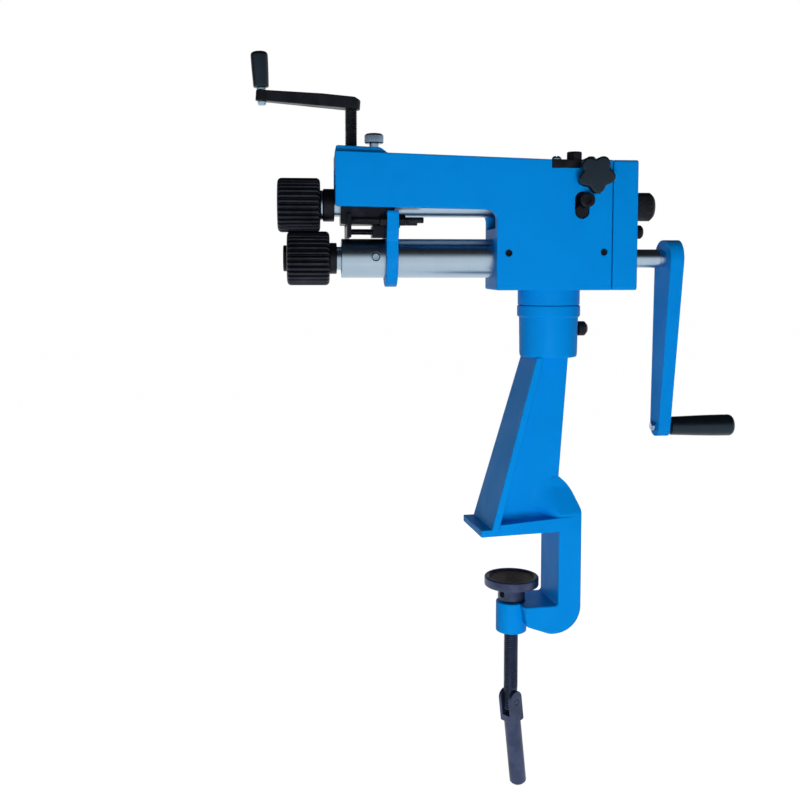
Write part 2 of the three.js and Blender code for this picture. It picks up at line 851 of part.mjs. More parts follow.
function gripProfile(start, length, foot, belly) {
  return [
    [start, 0],
    [start, foot - 1],
    [start + 1, foot],
    [start + length * 0.3, foot + (belly - foot) * 0.45],
    [start + length * 0.7, belly],
    [start + length - belly * 0.4, belly],
    [start + length - belly * 0.13, belly * 0.88],
    [start + length, belly * 0.62],
    [start + length, 0],
  ];
}

function crankGrip() {
  const start = crankStartX + crankThickness + gripShoulder + seatGap;
  const grip = turned('x', gripProfile(start, crankGripLength, crankGripFootRadius, crankGripRadius),
    0, -crankLength, 24);
  const bore = rod('x', start - 1, start + crankGripLength - 7, gripBoltRadius + turnGap, 0, -crankLength, 12);
  return cut(grip, bore);
}

function crankEndScrew() {
  const under = lowerShaftEndX + seatGap;
  const face = lowerShaftEndX + crankEndScrewSink - seatGap;
  const head = rod('x', under, face, crankEndScrewRadius, 0, 0, 20);
  const shank = rod('x', under + 1 - crankEndShankLength, under + 1, crankEndShankRadius, 0, 0, 12);
  const socket = plate(hexagon(6), 5, 'yz', face, 4);
  return cut(joined(head, shank), socket);
}

// Upper shaft and its bearing blocks
function frontBearingBlock() {
  const block = plate(roundedOutline([
    [-blockHalf, blockFloorZ, 2],
    [blockHalf, blockFloorZ, 2],
    [blockHalf, blockTopZ, 1],
    [-blockHalf, blockTopZ, 1],
  ]), blockLength, 'yz', blockStartX + blockLength / 2, 3);
  const seat = rod('x', blockStartX - 1, blockStartX + blockLength + 1, frontBushRadius + seatGap / 2,
    0, shaftSpacing);
  const recess = rod('y', -blockHalf - 1, -blockHalf + oilRecessDepth, oilRecessRadius, oilRecessX, shaftSpacing + 2, 24);
  const thread = rod('z', blockTopZ - thumbReach - 0.5, blockTopZ + 1, thumbShankRadius + turnGap, thumbX, 0, 16);
  return cut(block, seat, recess, thread);
}

function rearBearingBlock() {
  const x0 = pivotX - rearBlockLength / 2;
  const x1 = pivotX + rearBlockLength / 2;
  const block = box(x0, x1, -blockHalf, blockHalf, rearBlockFloorZ, rearBlockTopZ);
  const trunnions = rod('y', -headHalf + 1, headHalf - 1, trunnionRadius, pivotX, pivotZ, 20);
  const shaftHole = rod('x', x0 - 1, x1 + 1, shaftRadius + turnGap, 0, shaftSpacing);
  const keeperHole = rod('y', -blockHalf - 1, keeperGrip + 1 - blockHalf, keeperShankRadius + seatGap / 2,
    keeperX, keeperZ, 20);
  return cut(joined(block, trunnions), shaftHole, keeperHole);
}

function upperShaft() {
  const rollStart = upperRollX - rollWidth / 2;
  const tailEnd = upperShaftEndX;
  return turned('x', [
    [rollStart + 0.5, 0],
    [rollStart + 0.5, rollSeatRadius - 4],
    [rollStart + rollRecessDepth, rollSeatRadius - 4],
    [rollStart + rollRecessDepth, rollSeatRadius],
    [rollStart + rollWidth, rollSeatRadius],
    [rollStart + rollWidth, shaftRadius],
    [shaftTailStartX, shaftRadius],
    [shaftTailStartX, shaftTailRadius],
    [tailEnd, shaftTailRadius],
    [tailEnd, 0],
  ], 0, shaftSpacing);
}

function spacerRing() {
  const start = upperRollX + rollWidth / 2;
  const ring = rod('x', start, start + spacerLength, spacerRadius, 0, shaftSpacing);
  return cut(ring, rod('x', start - 1, start + spacerLength + 1, shaftRadius + seatGap / 2, 0, shaftSpacing));
}

// Axial adjuster of the upper shaft
function axialPlug() {
  const end = coverEndX + axialKnobLength - axialTravelBack - 6;
  return rod('x', upperShaftEndX + seatGap, end, axialPlugRadius, 0, shaftSpacing);
}

function axialKnob() {
  const x0 = coverEndX + axialKnobStart;
  const x1 = coverEndX + axialKnobLength;
  const stations = [
    [x0, axialKnobRadius],
    [x1 - 3, axialKnobRadius],
    [x1, axialKnobRadius - 3],
  ];
  const body = ringSolid(wavyProfile(axialKnurls, axialKnobRadius, 0.5), stations).translate([0, 0, shaftSpacing]);
  const neck = rod('x', coverInnerEndX + axialNeckInset, x0 + 1, axialKnobNeckRadius, 0, shaftSpacing);
  const bore = rod('x', coverInnerEndX, x1 - 4, axialKnobBoreRadius, 0, shaftSpacing, 20);
  return cut(joined(body, neck), bore);
}

// Pressure screw group
function pressureFoot() {
  const foot = turned('z', [
    [blockTopZ + seatGap, 0],
    [blockTopZ + seatGap, pressFootRadius],
    [blockTopZ + seatGap + pressFootHeight, pressFootRadius - 1],
    [blockTopZ + seatGap + pressFootHeight, 0],
  ], pressX, 0, 20);
  const cup = rod('z', blockTopZ + 2.6, blockTopZ + 20, pressScrewRadius - 1 + turnGap, pressX, 0, 20);
  return cut(foot, cup);
}

function pressureScrew() {
  const tip = blockTopZ + 2.6 + seatGap;
  const shoulder = blockTopZ + seatGap + pressFootHeight + seatGap;
  return turned('z', [
    [tip, 0],
    [tip, pressScrewRadius - 1],
    [shoulder, pressScrewRadius - 1],
    [shoulder, pressScrewRadius],
    [pressCrankZ + 3, pressScrewRadius],
    [pressCrankZ + 3, 0],
  ], pressX, 0, 20);
}

function pressureCrank() {
  const plan = plate(linkOutline(pressCrankLength, pressHubRadius, pressEndRadius), 40, 'xy', 0, 8)
    .rotate([0, 0, 180]);
  const half = pressEndHeight / 2;
  const side = plate(outline([
    [pressHubRadius + 1, -pressHubHeight / 2],
    [pressHubRadius + 1, pressHubHeight / 2 - 2.5],
    [pressHubRadius - 6, pressHubHeight / 2],
    [-28, pressHubHeight / 2 + 0.6],
    [-pressCrankLength + pressEndRadius + 1, half],
    [-pressCrankLength - pressEndRadius - 1, half],
    [-pressCrankLength - pressEndRadius - 1, -half],
    [-pressCrankLength + pressEndRadius + 1, -half],
    [-pressHubRadius, -pressHubHeight / 2],
  ]), 40, 'xz', 0, 4);
  const arm = plan.intersect(side);
  const hub = rod('z', -40, 3 + seatGap / 2, pressScrewRadius + seatGap / 2, 0, 0, 24)
    .rotate([0, -pressCrankTiltDegrees, 0]);
  const boltHole = rod('z', -20, 20, gripBoltRadius + seatGap / 2, 0, 0, 12)
    .rotate([0, -pressGripLeanDegrees, 0])
    .translate([-pressCrankLength, 0, 0]);
  return cut(arm, hub, boltHole);
}

function pressureGripBolt() {
  const half = pressGripSeat;
  return turned('z', [
    [-half - 3, 0],
    [-half - 3, gripBoltRadius + 0.6],
    [-half, gripBoltRadius + 1.4],
    [-half, gripBoltRadius],
    [half, gripBoltRadius],
    [half, gripShoulderRadius],
    [half + pressGripShoulder, gripShoulderRadius],
    [half + pressGripShoulder, gripBoltRadius],
    [half + pressGripShoulder + pressGripLength - 6, gripBoltRadius],
    [half + pressGripShoulder + pressGripLength - 6, 0],
  ], 0, 0, 12);
}

function pressureGrip() {
  const start = pressGripSeat + pressGripShoulder + seatGap;
  const grip = turned('z', gripProfile(start, pressGripLength, pressGripFootRadius, pressGripRadius), 0, 0, 20);
  const bore = rod('z', start - 1, start + pressGripLength - 5, gripBoltRadius + turnGap, 0, 0, 12);
  return cut(grip, bore);
}

// Thumb screw and lift spring
function thumbScrew() {
  const headZ = bossTopZ + thumbHeadGap;
  const stations = [
    [headZ, thumbHeadRadius],
    [headZ + thumbHeadHeight - 1.4, thumbHeadRadius],
    [headZ + thumbHeadHeight, thumbHeadRadius - 1.6],
  ];
  const head = ringSolid(wavyProfile(thumbKnurls, thumbHeadRadius, 0.5), stations)
    .rotate([0, -90, 0])
    .translate([thumbX, 0, 0]);
  const collarPiece = rod('z', bossTopZ + seatGap, headZ + 0.5, thumbCollarRadius, thumbX, 0, 16);
  const shank = rod('z', blockTopZ - thumbReach, headZ + 0.5, thumbShankRadius, thumbX, 0, 16);
  return joined(head, collarPiece, shank);
}

function liftSpring() {
  const low = bossTopZ - springSeatDepth + springWire / 2 + seatGap;
  const high = bossTopZ - springWire / 2;
  const points = [];
  const steps = springTurns * 8;
  for (let i = 0; i <= steps; i += 1) {
    const angle = (i * 2 * Math.PI) / 8;
    points.push(new THREE.Vector3(
      thumbX + (springRadius - springWire / 2) * Math.cos(angle),
      (springRadius - springWire / 2) * Math.sin(angle),
      low + ((high - low) * i) / steps,
    ));
  }
  const wire = new THREE.Shape();
  wire.absarc(0, 0, springWire / 2, 0, 2 * Math.PI, false);
  const geometry = new THREE.ExtrudeGeometry(wire, {
    steps,
    extrudePath: new THREE.CatmullRomCurve3(points),
    curveSegments: 3,
    bevelEnabled: false,
  });
  return solidOf(geometry);
}

// Star knob on the side
function starKnob() {
  const outer = starStandOff + starThickness;
  const stations = [
    [starStandOff, starRadius],
    [outer - 1.5, starRadius],
    [outer, starRadius - 2],
  ];
  const star = ringSolid(lobedProfile(5, starRadius, starWaist, starTurn), stations);
  const hub = rod('x', 1, starStandOff + 1, starHubRadius, 0, 0, 20);
  const stud = rod('x', -(headHalf - blockHalf - seatGap), 2, starStudRadius, 0, 0, 16);
  return joined(star, hub, stud).rotate([0, 0, -90]).translate([starX, -headHalf, starZ]);
}

// Fence
function fenceBracket() {
  const ears = plate(outline([
    [-bracketRingRadius, 0],
    [bracketRingRadius, 0],
    [bracketRingRadius, 16],
    [bracketEarY, 24],
    [bracketEarY, bracketEarTopZ - 3],
    [bracketEarY - 3, bracketEarTopZ],
    [tunnelHalf - 0.5, bracketEarTopZ],
    [tunnelHalf - 0.5, bracketNotchZ],
    [-tunnelHalf + 0.5, bracketNotchZ],
    [-tunnelHalf + 0.5, bracketEarTopZ],
    [-bracketEarY + 3, bracketEarTopZ],
    [-bracketEarY, bracketEarTopZ - 3],
    [-bracketEarY, 24],
    [-bracketRingRadius, 16],
  ]), bracketThickness, 'yz', bracketX + bracketThickness / 2);
  const end = bracketX + bracketThickness;
  const ring = rod('x', bracketX, end, bracketRingRadius, 0, 0, 36);
  const tubeHole = rod('x', bracketX - 1, end + 1, tubeRadius + seatGap, 0, 0, 28);
  const rodHoles = [-rodY, rodY].map((y) => rod('x', bracketX - 1, end + 1, rodRadius + seatGap, y, rodZ, 12));
  const pinHole = rod('x', bracketX - 1, bracketX + pinReach + seatGap, rodRadius + seatGap / 2, 0, guidePinZ, 12);
  const screwHole = rod('y', tubeRadius - 2, bracketRingRadius + 1, setScrewRadius + seatGap / 2,
    bracketX + bracketThickness / 2, 0, 16);
  return cut(joined(ears, ring), tubeHole, ...rodHoles, pinHole, screwHole);
}

function bracketSetScrew() {
  return rod('y', tubeRadius + 2 * seatGap, bracketRingRadius - 0.5, setScrewRadius, bracketX + bracketThickness / 2, 0, 16);
}

function hexNut(startX, y, z) {
  const body = plate(hexagon(nutAcross), nutHeight, 'yz', startX + nutHeight / 2, 4).translate([0, y, z]);
  return cut(body, rod('x', startX - 1, startX + nutHeight + 1, rodRadius + seatGap, y, z, 12));
}

function fenceGuidePin() {
  const pin = rod('x', fencePlateX + 1, bracketX + pinReach, rodRadius, 0, guidePinZ, 12);
  const block = box(bracketX - guideBlockLength, bracketX, -guideBlockHalf, guideBlockHalf,
    guidePinZ - guideBlockHeight / 2, guidePinZ + guideBlockHeight / 2);
  return joined(pin, block);
}

function fencePlate() {
  const notch = tunnelHalf + 0.5;
  const shape = outline([
    [-fencePlateHalfWidth, fencePlateFloorZ],
    [fencePlateHalfWidth, fencePlateFloorZ],
    [fencePlateHalfWidth, fencePlateTopZ],
    [notch, fencePlateTopZ],
    [notch, fenceBridgeTopZ],
    [-notch, fenceBridgeTopZ],
    [-notch, fencePlateTopZ],
    [-fencePlateHalfWidth, fencePlateTopZ],
  ]);
  const end = fencePlateX + fencePlateThickness;
  const body = plate(shape, fencePlateThickness, 'yz', (fencePlateX + end) / 2, 4);
  const holes = [-rodY, rodY].map((y) => rod('x', fencePlateX - 1, end + 1, rodRadius + seatGap / 2, y, rodZ, 12));
  return cut(body, ...holes, rod('x', fencePlateX - 1, end + 1, rodRadius + turnGap, 0, guidePinZ, 12));
}

function fenceRod(y) {
  return rod('x', fencePlateX, rodEndX, rodRadius, y, rodZ, 12);
}

// Pedestal and clamp frame, with the jaw's underside at Z = 0
function pedestal() {
  const socket = turned('z', [
    [socketFloorZ, 0],
    [socketFloorZ, socketRadius - 0.8],
    [socketFloorZ + 3, socketRadius],
    [socketTopZ - socketRimHeight - 1.5, socketRadius],
    [socketTopZ - socketRimHeight, socketRimRadius],
    [socketTopZ - seatGap, socketRimRadius],
    [socketTopZ - seatGap, 0],
  ], swivelX, 0, 28);
  const bore = rod('z', socketFloorZ + socketFloor, socketTopZ + 1, spigotRadius + turnGap, swivelX, 0, 28);
  const lockHole = rod('x', spigotRadius - 1, socketRadius + 3, lockBoltRadius + seatGap / 2, 0, lockBoltZ, 20)
    .translate([swivelX, 0, 0]);
  const plateTopZ = jawThickness;
  const flange = slopedFlange(plateTopZ);
  const web = plate(outline([
    [flangeTopX + 2, socketFloorZ + 1],
    [webBackTopX, socketFloorZ + 1],
    [webBackFootX, shoulderZ],
    [spineInnerX, shoulderZ - 12],
    [spineInnerX, plateTopZ - 1],
    [flangeFootX + flangeThickness - 2, plateTopZ - 1],
  ]), webThickness, 'xz', 0, 4);
  return cut(joined(socket, flange, web, clampFrame()), bore, lockHole);
}

function slopedFlange(footZ) {
  const side = plate(outline([
    [flangeTopX, socketFloorZ + 0.5],
    [flangeTopX + flangeThickness, socketFloorZ + 0.5],
    [flangeFootX + flangeThickness, footZ - 1],
    [flangeFootX, footZ - 1],
  ]), flangeFootWidth + 10, 'xz', 0, 4);
  const front = plate(outline([
    [-flangeTopWidth / 2, socketFloorZ + 3],
    [flangeTopWidth / 2, socketFloorZ + 3],
    [flangeFootWidth / 2, footZ - 2],
    [-flangeFootWidth / 2, footZ - 2],
  ]), 3 * flangeFootWidth, 'yz', 0, 4);
  return side.intersect(front);
}

function clampFrame() {
  const screwX = -clampReach;
  const bossFloorZ = lowerJawZ - screwBossLength;
  const jawPlan = outline([
    [jawTipX, -flangeFootWidth / 2],
    [spineOuterX - 2, -frameHalf],
    [spineOuterX - 2, frameHalf],
    [jawTipX, flangeFootWidth / 2],
  ]);
  const jaw = plate(jawPlan, jawThickness, 'xy', jawThickness / 2, 4);
  const low = lowerJawZ - lowerJawDrop;
  const side = plate(roundedOutline([
    [spineInnerX, lowerJawZ, 2],
    [spineInnerX, shoulderZ - 12, 0],
    [-3, shoulderZ, 0],
    [webBackFootX, shoulderZ, 0],
    [...shoulderBend, 30],
    [spineOuterX, shoulderFootZ, 25],
    [spineOuterX, low + 1, 26],
    [spineInnerX - 8, low, 16],
    [screwX + 8, low + 8.5, 0],
    [screwX + 4, lowerJawZ, 0],
  ]), frameDepth, 'xz', 0, 6);
  const bossEdge = screwBossRadius * 0.98;
  const plan = plate(outline([
    [screwX, -bossEdge],
    [screwX + lowerJawEndX, -frameHalf],
    [spineOuterX + 1, -frameHalf],
    [spineOuterX + 1, frameHalf],
    [screwX + lowerJawEndX, frameHalf],
    [screwX, bossEdge],
  ]), 4 * mouthHeight, 'xy', 0, 4);
  const ramp = [-1, 1].map((sign) => plate(outline([
    [sign * webThickness / 2, shoulderZ + 1],
    [sign * (frameHalf + 2), shoulderZ + 1],
    [sign * (frameHalf + 2), rampFootZ],
    [sign * frameHalf, rampFootZ],
  ]), 60, 'yz', spineInnerX + 8, 4));
  const spine = cut(side.intersect(plan), ...ramp);
  const boss = rod('z', bossFloorZ, lowerJawZ, screwBossRadius, screwX, 0, 28);
  const thread = rod('z', bossFloorZ - 1, lowerJawZ + 1, clampScrewRadius + turnGap, screwX, 0);
  return cut(joined(jaw, spine, boss), thread);
}

function lockBolt() {
  const face = socketRadius + 0.6;
  const head = turned('x', [
    [face, 0],
    [face, lockBoltHeadRadius],
    [face + lockBoltHeadLength - 2.5, lockBoltHeadRadius],
    [face + lockBoltHeadLength, lockBoltHeadRadius - 2.6],
    [face + lockBoltHeadLength, 0],
  ], 0, lockBoltZ, 24);
  const shank = rod('x', spigotRadius + seatGap, face + 1, lockBoltRadius - seatGap / 2, 0, lockBoltZ, 20);
  const socket = plate(hexagon(6), 6, 'yz', face + lockBoltHeadLength, 4).translate([0, 0, lockBoltZ]);
  return cut(joined(head, shank), socket).translate([swivelX, 0, 0]);
}

// Clamp screw group, on the clamp axis
function clampPad() {
  const floor = padTopZ - padThickness;
  const pad = turned('z', [
    [floor - padHubLength, 0],
    [floor - padHubLength, padHubRadius],
    [floor, padHubRadius],
    [floor, padRadius],
    [padTopZ - 1, padRadius],
    [padTopZ, padRadius - 1],
    [padTopZ, padRadius - 3.4],
    [padTopZ - padRecess, padRadius - 4.2],
    [padTopZ - padRecess, 0],
  ], 0, 0, 28);
  const bore = rod('z', floor - padHubLength - 1, floor + 3, clampScrewRadius + turnGap, 0, 0);
  const hole = rod('y', -padHubRadius - 1, -clampScrewRadius, setScrewRadius, 0, floor - padHubLength / 2, 16)
    .rotate([0, 0, padScrewTurnDegrees]);
  return cut(pad, bore, hole);
}

function padSetScrew() {
  const z = padTopZ - padThickness - padHubLength / 2;
  return rod('y', -padHubRadius + 1.6, -clampScrewRadius - turnGap, setScrewRadius - seatGap / 2, 0, z, 16)
    .rotate([0, 0, padScrewTurnDegrees]);
}

function clampScrew() {
  const top = padTopZ - padThickness + 3 - seatGap;
  const shank = rod('z', handlePinZ - 8, top, clampScrewRadius, 0, 0);
  const cheekInner = clevisHalfWidth - clevisCheek - seatGap;
  const trims = [-1, 1].map((sign) => {
    const edges = [sign * cheekInner, sign * (clampScrewRadius + 2)].sort((a, b) => a - b);
    return box(-clampScrewRadius - 1, clampScrewRadius + 1, edges[0], edges[1], handlePinZ - 20, handlePinZ + 13);
  });
  const hole = rod('y', -clampScrewRadius - 1, clampScrewRadius + 1, handlePinRadius + seatGap / 2, 0, handlePinZ, 20);
  return cut(shank, ...trims, hole);
}

function handlePin() {
  return rod('y', -clevisHalfWidth, clevisHalfWidth, handlePinRadius, 0, 0, 20);
}

function clampHandle() {
  const side = roundedOutline([
    [-clevisHalfWidth, clevisTop, clevisHalfWidth * 0.9],
    [-clevisHalfWidth, clevisTop - clevisLength, 1],
    [clevisHalfWidth, clevisTop - clevisLength, 1],
    [clevisHalfWidth, clevisTop, clevisHalfWidth * 0.9],
  ]);
  const clevis = plate(side, 2 * clevisHalfWidth, 'xz', 0, 5);
  const gap = clevisHalfWidth - clevisCheek;
  const slot = box(-clevisHalfWidth - 1, clevisHalfWidth + 1, -gap, gap, clevisTop - clevisLength + 8, clevisTop + 1);
  const rodTop = clevisTop - clevisLength + 3;
  const bar = turned('z', [
    [-handleLength, 0],
    [-handleLength, handleRodRadius - 3],
    [-handleLength + 2.4, handleRodRadius],
    [rodTop - 2, handleRodRadius],
    [rodTop, handleRodRadius - 2],
    [rodTop, 0],
  ], 0, 0);
  const hole = rod('y', -clevisHalfWidth - 1, clevisHalfWidth + 1, handlePinRadius + seatGap / 2, 0, 0, 20);
  return cut(joined(clevis, bar), slot, hole);
}

// Assembly
const group = new THREE.Group();
const head = new THREE.Group();
const base = new THREE.Group();
const clamp = new THREE.Group();
const mainCrank = new THREE.Group();
const pressCrank = new THREE.Group();
const pressHandle = new THREE.Group();
const handleSwing = new THREE.Group();
const handleFold = new THREE.Group();

base.rotation.z = headTurn;
base.position.set(clampReach * Math.cos(headTurn), clampReach * Math.sin(headTurn), 0);
head.position.set(base.position.x + swivelX * (Math.cos(headTurn) - 1), base.position.y + swivelX * Math.sin(headTurn),
  shaftHeight);
clamp.position.set(-clampReach, 0, 0);
mainCrank.rotation.x = THREE.MathUtils.degToRad(crankSwingDegrees);
pressCrank.rotation.y = THREE.MathUtils.degToRad(pressCrankTiltDegrees);
pressCrank.position.set(pressX, 0, pressCrankZ);
pressHandle.rotation.y = -pressGripLean;
pressHandle.position.x = -pressCrankLength;
handleSwing.rotation.z = THREE.MathUtils.degToRad(handleTurnDegrees);
handleFold.rotation.y = -THREE.MathUtils.degToRad(handleTiltDegrees);
handleFold.position.z = handlePinZ;

base.add(
  part('pedestal', pedestal(), bluePaint),
  part('lock_bolt', lockBolt(), blackOxide),
  clamp,
);

handleFold.add(
  part('clamp_handle', clampHandle(), blackOxide),
  part('handle_pin', handlePin(), blackOxide),
);

handleSwing.add(
  part('clamp_screw', clampScrew(), blackOxide),
  handleFold,
);

clamp.add(
  part('clamp_pad', clampPad(), blackOxide),
  part('pad_set_screw', padSetScrew(), blackOxide),
  handleSwing,
);

head.add(
  part('head_casting', headCasting(), bluePaint),
  part('rear_cover', rearCover(), bluePaint),
  part('cover_bolt_near', coverBolt(-coverBoltY), blackOxide),
  part('cover_bolt_far', coverBolt(coverBoltY), blackOxide),
  part('bridge_plate', bridgePlate(), blackOxide),
  part('rear_adjust_bolt', rearAdjustBolt(), blackOxide),
  part('keeper_screw', keeperScrew(), blackOxide),
  part('tube_lock_screw', bodyGrubScrew(tubeLockPlace, tubeRadius), blackOxide),
  part('bush_lock_screw', bodyGrubScrew(bushLockPlace, bushRadius), blackOxide),
  part('star_knob', starKnob(), blackPlastic),
  part('lift_spring', liftSpring(), groundSteel),
  part('lower_tube', lowerTube(), groundSteel),
  part('lower_front_bush', bush(tubeStartX, bushLength - seatGap, bushRadius, shaftRadius + turnGap, 0), bronze),
  part('lower_rear_bush', bush(seamX - bushLength + seatGap, bushLength - 2 * seatGap - 2.5, bushRadius,
    shaftRadius + turnGap, 0), bronze),
  part('tube_set_screw', tubeSetScrew(), zincSteel),
);

head.add(
  part('lower_shaft', lowerShaft(), groundSteel),
  part('lower_roll', crimpingRoll(lowerRollX, 0, Math.PI / 2 + Math.PI / rollTeeth, 0), blackOxide),
  part('lower_roll_nut', rollNut(lowerRollX - rollWidth / 2 - rollNutThickness, 0), blackOxide),
  part('lower_collar', collar(lowerRollX + rollWidth / 2, tubeStartX - 4.2, lowerCollarRadius, 0), blackOxide),
  part('lower_gear', timingGear(0, Math.PI / 2), groundSteel),
  mainCrank,
);

mainCrank.add(
  part('crank_arm', crankArm(), bluePaint),
  part('crank_grip_bolt', crankGripBolt(), zincSteel),
  part('crank_grip', crankGrip(), blackPlastic),
  part('crank_end_screw', crankEndScrew(), blackOxide),
);

head.add(
  part('front_bearing_block', frontBearingBlock(), blackOxide),
  part('upper_front_bush', bush(blockStartX + seatGap, blockLength - 2 * seatGap, frontBushRadius,
    shaftRadius + turnGap, shaftSpacing), bronze),
  part('rear_bearing_block', rearBearingBlock(), blackOxide),
  part('thumb_screw', thumbScrew(), zincSteel),
  part('upper_shaft', upperShaft(), groundSteel),
  part('upper_roll', crimpingRoll(upperRollX, shaftSpacing, -Math.PI / 2, rollRecessDepth), blackOxide),
  part('upper_roll_nut', rollNut(upperRollX - rollWidth / 2 + rollRecessDepth - rollNutThickness, shaftSpacing),
    blackOxide),
  part('upper_spacer', spacerRing(), groundSteel),
  part('upper_collar', collar(upperRollX + rollWidth / 2 + spacerLength,
    upperRollX + rollWidth / 2 + spacerLength + upperCollarLength, upperCollarRadius, shaftSpacing), blackOxide),
  part('upper_gear', timingGear(shaftSpacing, -Math.PI / 2 + Math.PI / gearTeeth), groundSteel),
  part('axial_plug', axialPlug(), groundSteel),
  part('axial_knob', axialKnob(), blackOxide),
);

head.add(
  part('pressure_foot', pressureFoot(), groundSteel),
  part('pressure_screw', pressureScrew(), blackOxide),
  pressCrank,
);

pressCrank.add(
  part('pressure_crank', pressureCrank(), blackOxide),
  pressHandle,
);

pressHandle.add(
  part('pressure_grip_bolt', pressureGripBolt(), zincSteel),
  part('pressure_grip', pressureGrip(), blackPlastic),
);

head.add(
  part('fence_bracket', fenceBracket(), bluePaint),
  part('bracket_set_screw', bracketSetScrew(), blackOxide),
  part('rod_nut_near_front', hexNut(bracketX - nutHeight, -rodY, rodZ), blackOxide),
  part('rod_nut_near_back', hexNut(bracketX + bracketThickness, -rodY, rodZ), blackOxide),
  part('rod_nut_far_front', hexNut(bracketX - nutHeight, rodY, rodZ), blackOxide),
  part('rod_nut_far_back', hexNut(bracketX + bracketThickness, rodY, rodZ), blackOxide),
  part('fence_guide_pin', fenceGuidePin(), blackOxide),
  part('fence_plate', fencePlate(), darkPaint),
  part('fence_rod_near', fenceRod(-rodY), blackOxide),
  part('fence_rod_far', fenceRod(rodY), blackOxide),
);

group.add(base, head);

export default group;
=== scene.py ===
"""Visual model of a hand cranked bead roller on a bench clamp.

All shapes are made in millimetres in the frame of their own sub-assembly and placed in
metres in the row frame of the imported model.
"""
from __future__ import annotations

import logging
import math
from dataclasses import dataclass, field
from enum import Enum
from typing import ClassVar, Iterable, Sequence

import bmesh
import bpy
from mathutils import Matrix, Vector

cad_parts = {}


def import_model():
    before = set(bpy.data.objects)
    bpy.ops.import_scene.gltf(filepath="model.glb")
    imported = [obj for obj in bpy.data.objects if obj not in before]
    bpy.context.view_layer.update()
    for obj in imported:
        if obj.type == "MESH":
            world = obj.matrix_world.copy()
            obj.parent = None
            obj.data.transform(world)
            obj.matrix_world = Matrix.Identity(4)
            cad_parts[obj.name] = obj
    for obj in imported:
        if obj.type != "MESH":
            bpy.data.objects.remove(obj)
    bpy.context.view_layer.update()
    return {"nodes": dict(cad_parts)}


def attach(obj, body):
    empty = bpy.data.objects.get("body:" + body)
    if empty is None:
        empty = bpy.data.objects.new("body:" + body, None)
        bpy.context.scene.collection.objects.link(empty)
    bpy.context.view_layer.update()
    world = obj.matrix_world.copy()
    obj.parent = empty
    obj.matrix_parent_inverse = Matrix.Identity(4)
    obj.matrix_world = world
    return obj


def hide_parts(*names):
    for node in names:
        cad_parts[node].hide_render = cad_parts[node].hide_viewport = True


LOG = logging.getLogger("bead_roller")
MM = 0.001
SIDES = (-1.0, 1.0)
M6_HOLE = 3.15
Pair = tuple[float, float]
Point = tuple[float, float, float]
Colour = tuple[float, float, float]
Socket = bpy.types.NodeSocket


class Axis(Enum):
    """Direction that a solid is turned round or gets its thickness in."""

    X = "X"
    Y = "Y"
    Z = "Z"


# Places of the sub-assemblies


def turn(degrees: float, axis: Axis) -> Matrix:
    """Turn about an axis through the origin."""
    return Matrix.Rotation(math.radians(degrees), 4, axis.value)


@dataclass(frozen=True)
class Layout:
    """Where each sub-assembly stands in the row frame, and what several of them share."""

    clamp_reach: float = 40.0
    head_turn: float = 6.5
    swivel_x: float = -4.6
    shaft_height: float = 262.0
    shaft_spacing: float = 50.0
    crank_swing: float = 7.2
    press_x: float = -195.6
    press_height: float = 145.0
    press_tilt: float = 4.2
    press_length: float = 83.5
    press_lean: float = 7.2
    handle_pin_z: float = -174.0
    handle_turn: float = 30.0
    handle_tilt: float = 8.0
    pivot: Pair = (19.2, 43.8)
    keeper: Pair = (22.5, 53.9)
    thumb_x: float = -174.0

    def base(self) -> Matrix:
        """Frame of the pedestal, with the jaw's underside at Z = 0."""
        angle = math.radians(self.head_turn)
        shift = Vector((self.clamp_reach * math.cos(angle), self.clamp_reach * math.sin(angle), 0.0))
        return Matrix.Translation(shift) @ self.clamp()

    def head(self) -> Matrix:
        """Frame of the head, which swivels on the pedestal; the lower shaft is at Z = 0."""
        axis = self.base() @ Vector((self.swivel_x, 0.0, self.shaft_height))
        return Matrix.Translation(axis - Vector((self.swivel_x, 0.0, 0.0)))

    def clamp(self) -> Matrix:
        """Frame of the clamp screw, turned with the pedestal."""
        return turn(self.head_turn, Axis.Z)

    def handle(self) -> Matrix:
        """Frame of the folding clamp handle, with its pin at the origin."""
        pin = Matrix.Translation((0.0, 0.0, self.handle_pin_z))
        return self.handle_upright() @ pin @ turn(-self.handle_tilt, Axis.Y)

    def handle_upright(self) -> Matrix:
        """Frame of the screw end that the folding handle straddles."""
        return self.clamp() @ turn(self.handle_turn, Axis.Z)

    def crank(self) -> Matrix:
        """Frame of the main crank, with its arm hanging along -Z."""
        return self.head() @ turn(self.crank_swing, Axis.X)

    def press_crank(self) -> Matrix:
        """Frame of the pressure crank, with its hub at the origin and its grip at -X."""
        hub = Matrix.Translation((self.press_x, 0.0, self.press_height))
        return self.head() @ hub @ turn(self.press_tilt, Axis.Y)

    def press_handle(self) -> Matrix:
        """Frame of the small grip, which leans back on its crank."""
        end = Matrix.Translation((-self.press_length, 0.0, 0.0))
        return self.press_crank() @ end @ turn(-self.press_lean, Axis.Y)


# Outlines


def steps(start: float, end: float, count: int) -> list[float]:
    """Evenly spaced values from start to end."""
    return [start + (end - start) * k / count for k in range(count + 1)]


def rounded(corners: Sequence[Point], segments: int = 8) -> list[Pair]:
    """Rounds the corners of a closed outline.

    Args:
        corners: x, y and radius of each corner in turn.
        segments: Segments of each rounding.

    Returns:
        The points of the outline.
    """
    points: list[Pair] = []
    count = len(corners)
    for i, (x, y, radius) in enumerate(corners):
        here = Vector((x, y))
        back = (Vector(corners[i - 1][:2]) - here).normalized()
        ahead = (Vector(corners[(i + 1) % count][:2]) - here).normalized()
        points.extend(fillet(here, back, ahead, radius, segments))
    return points


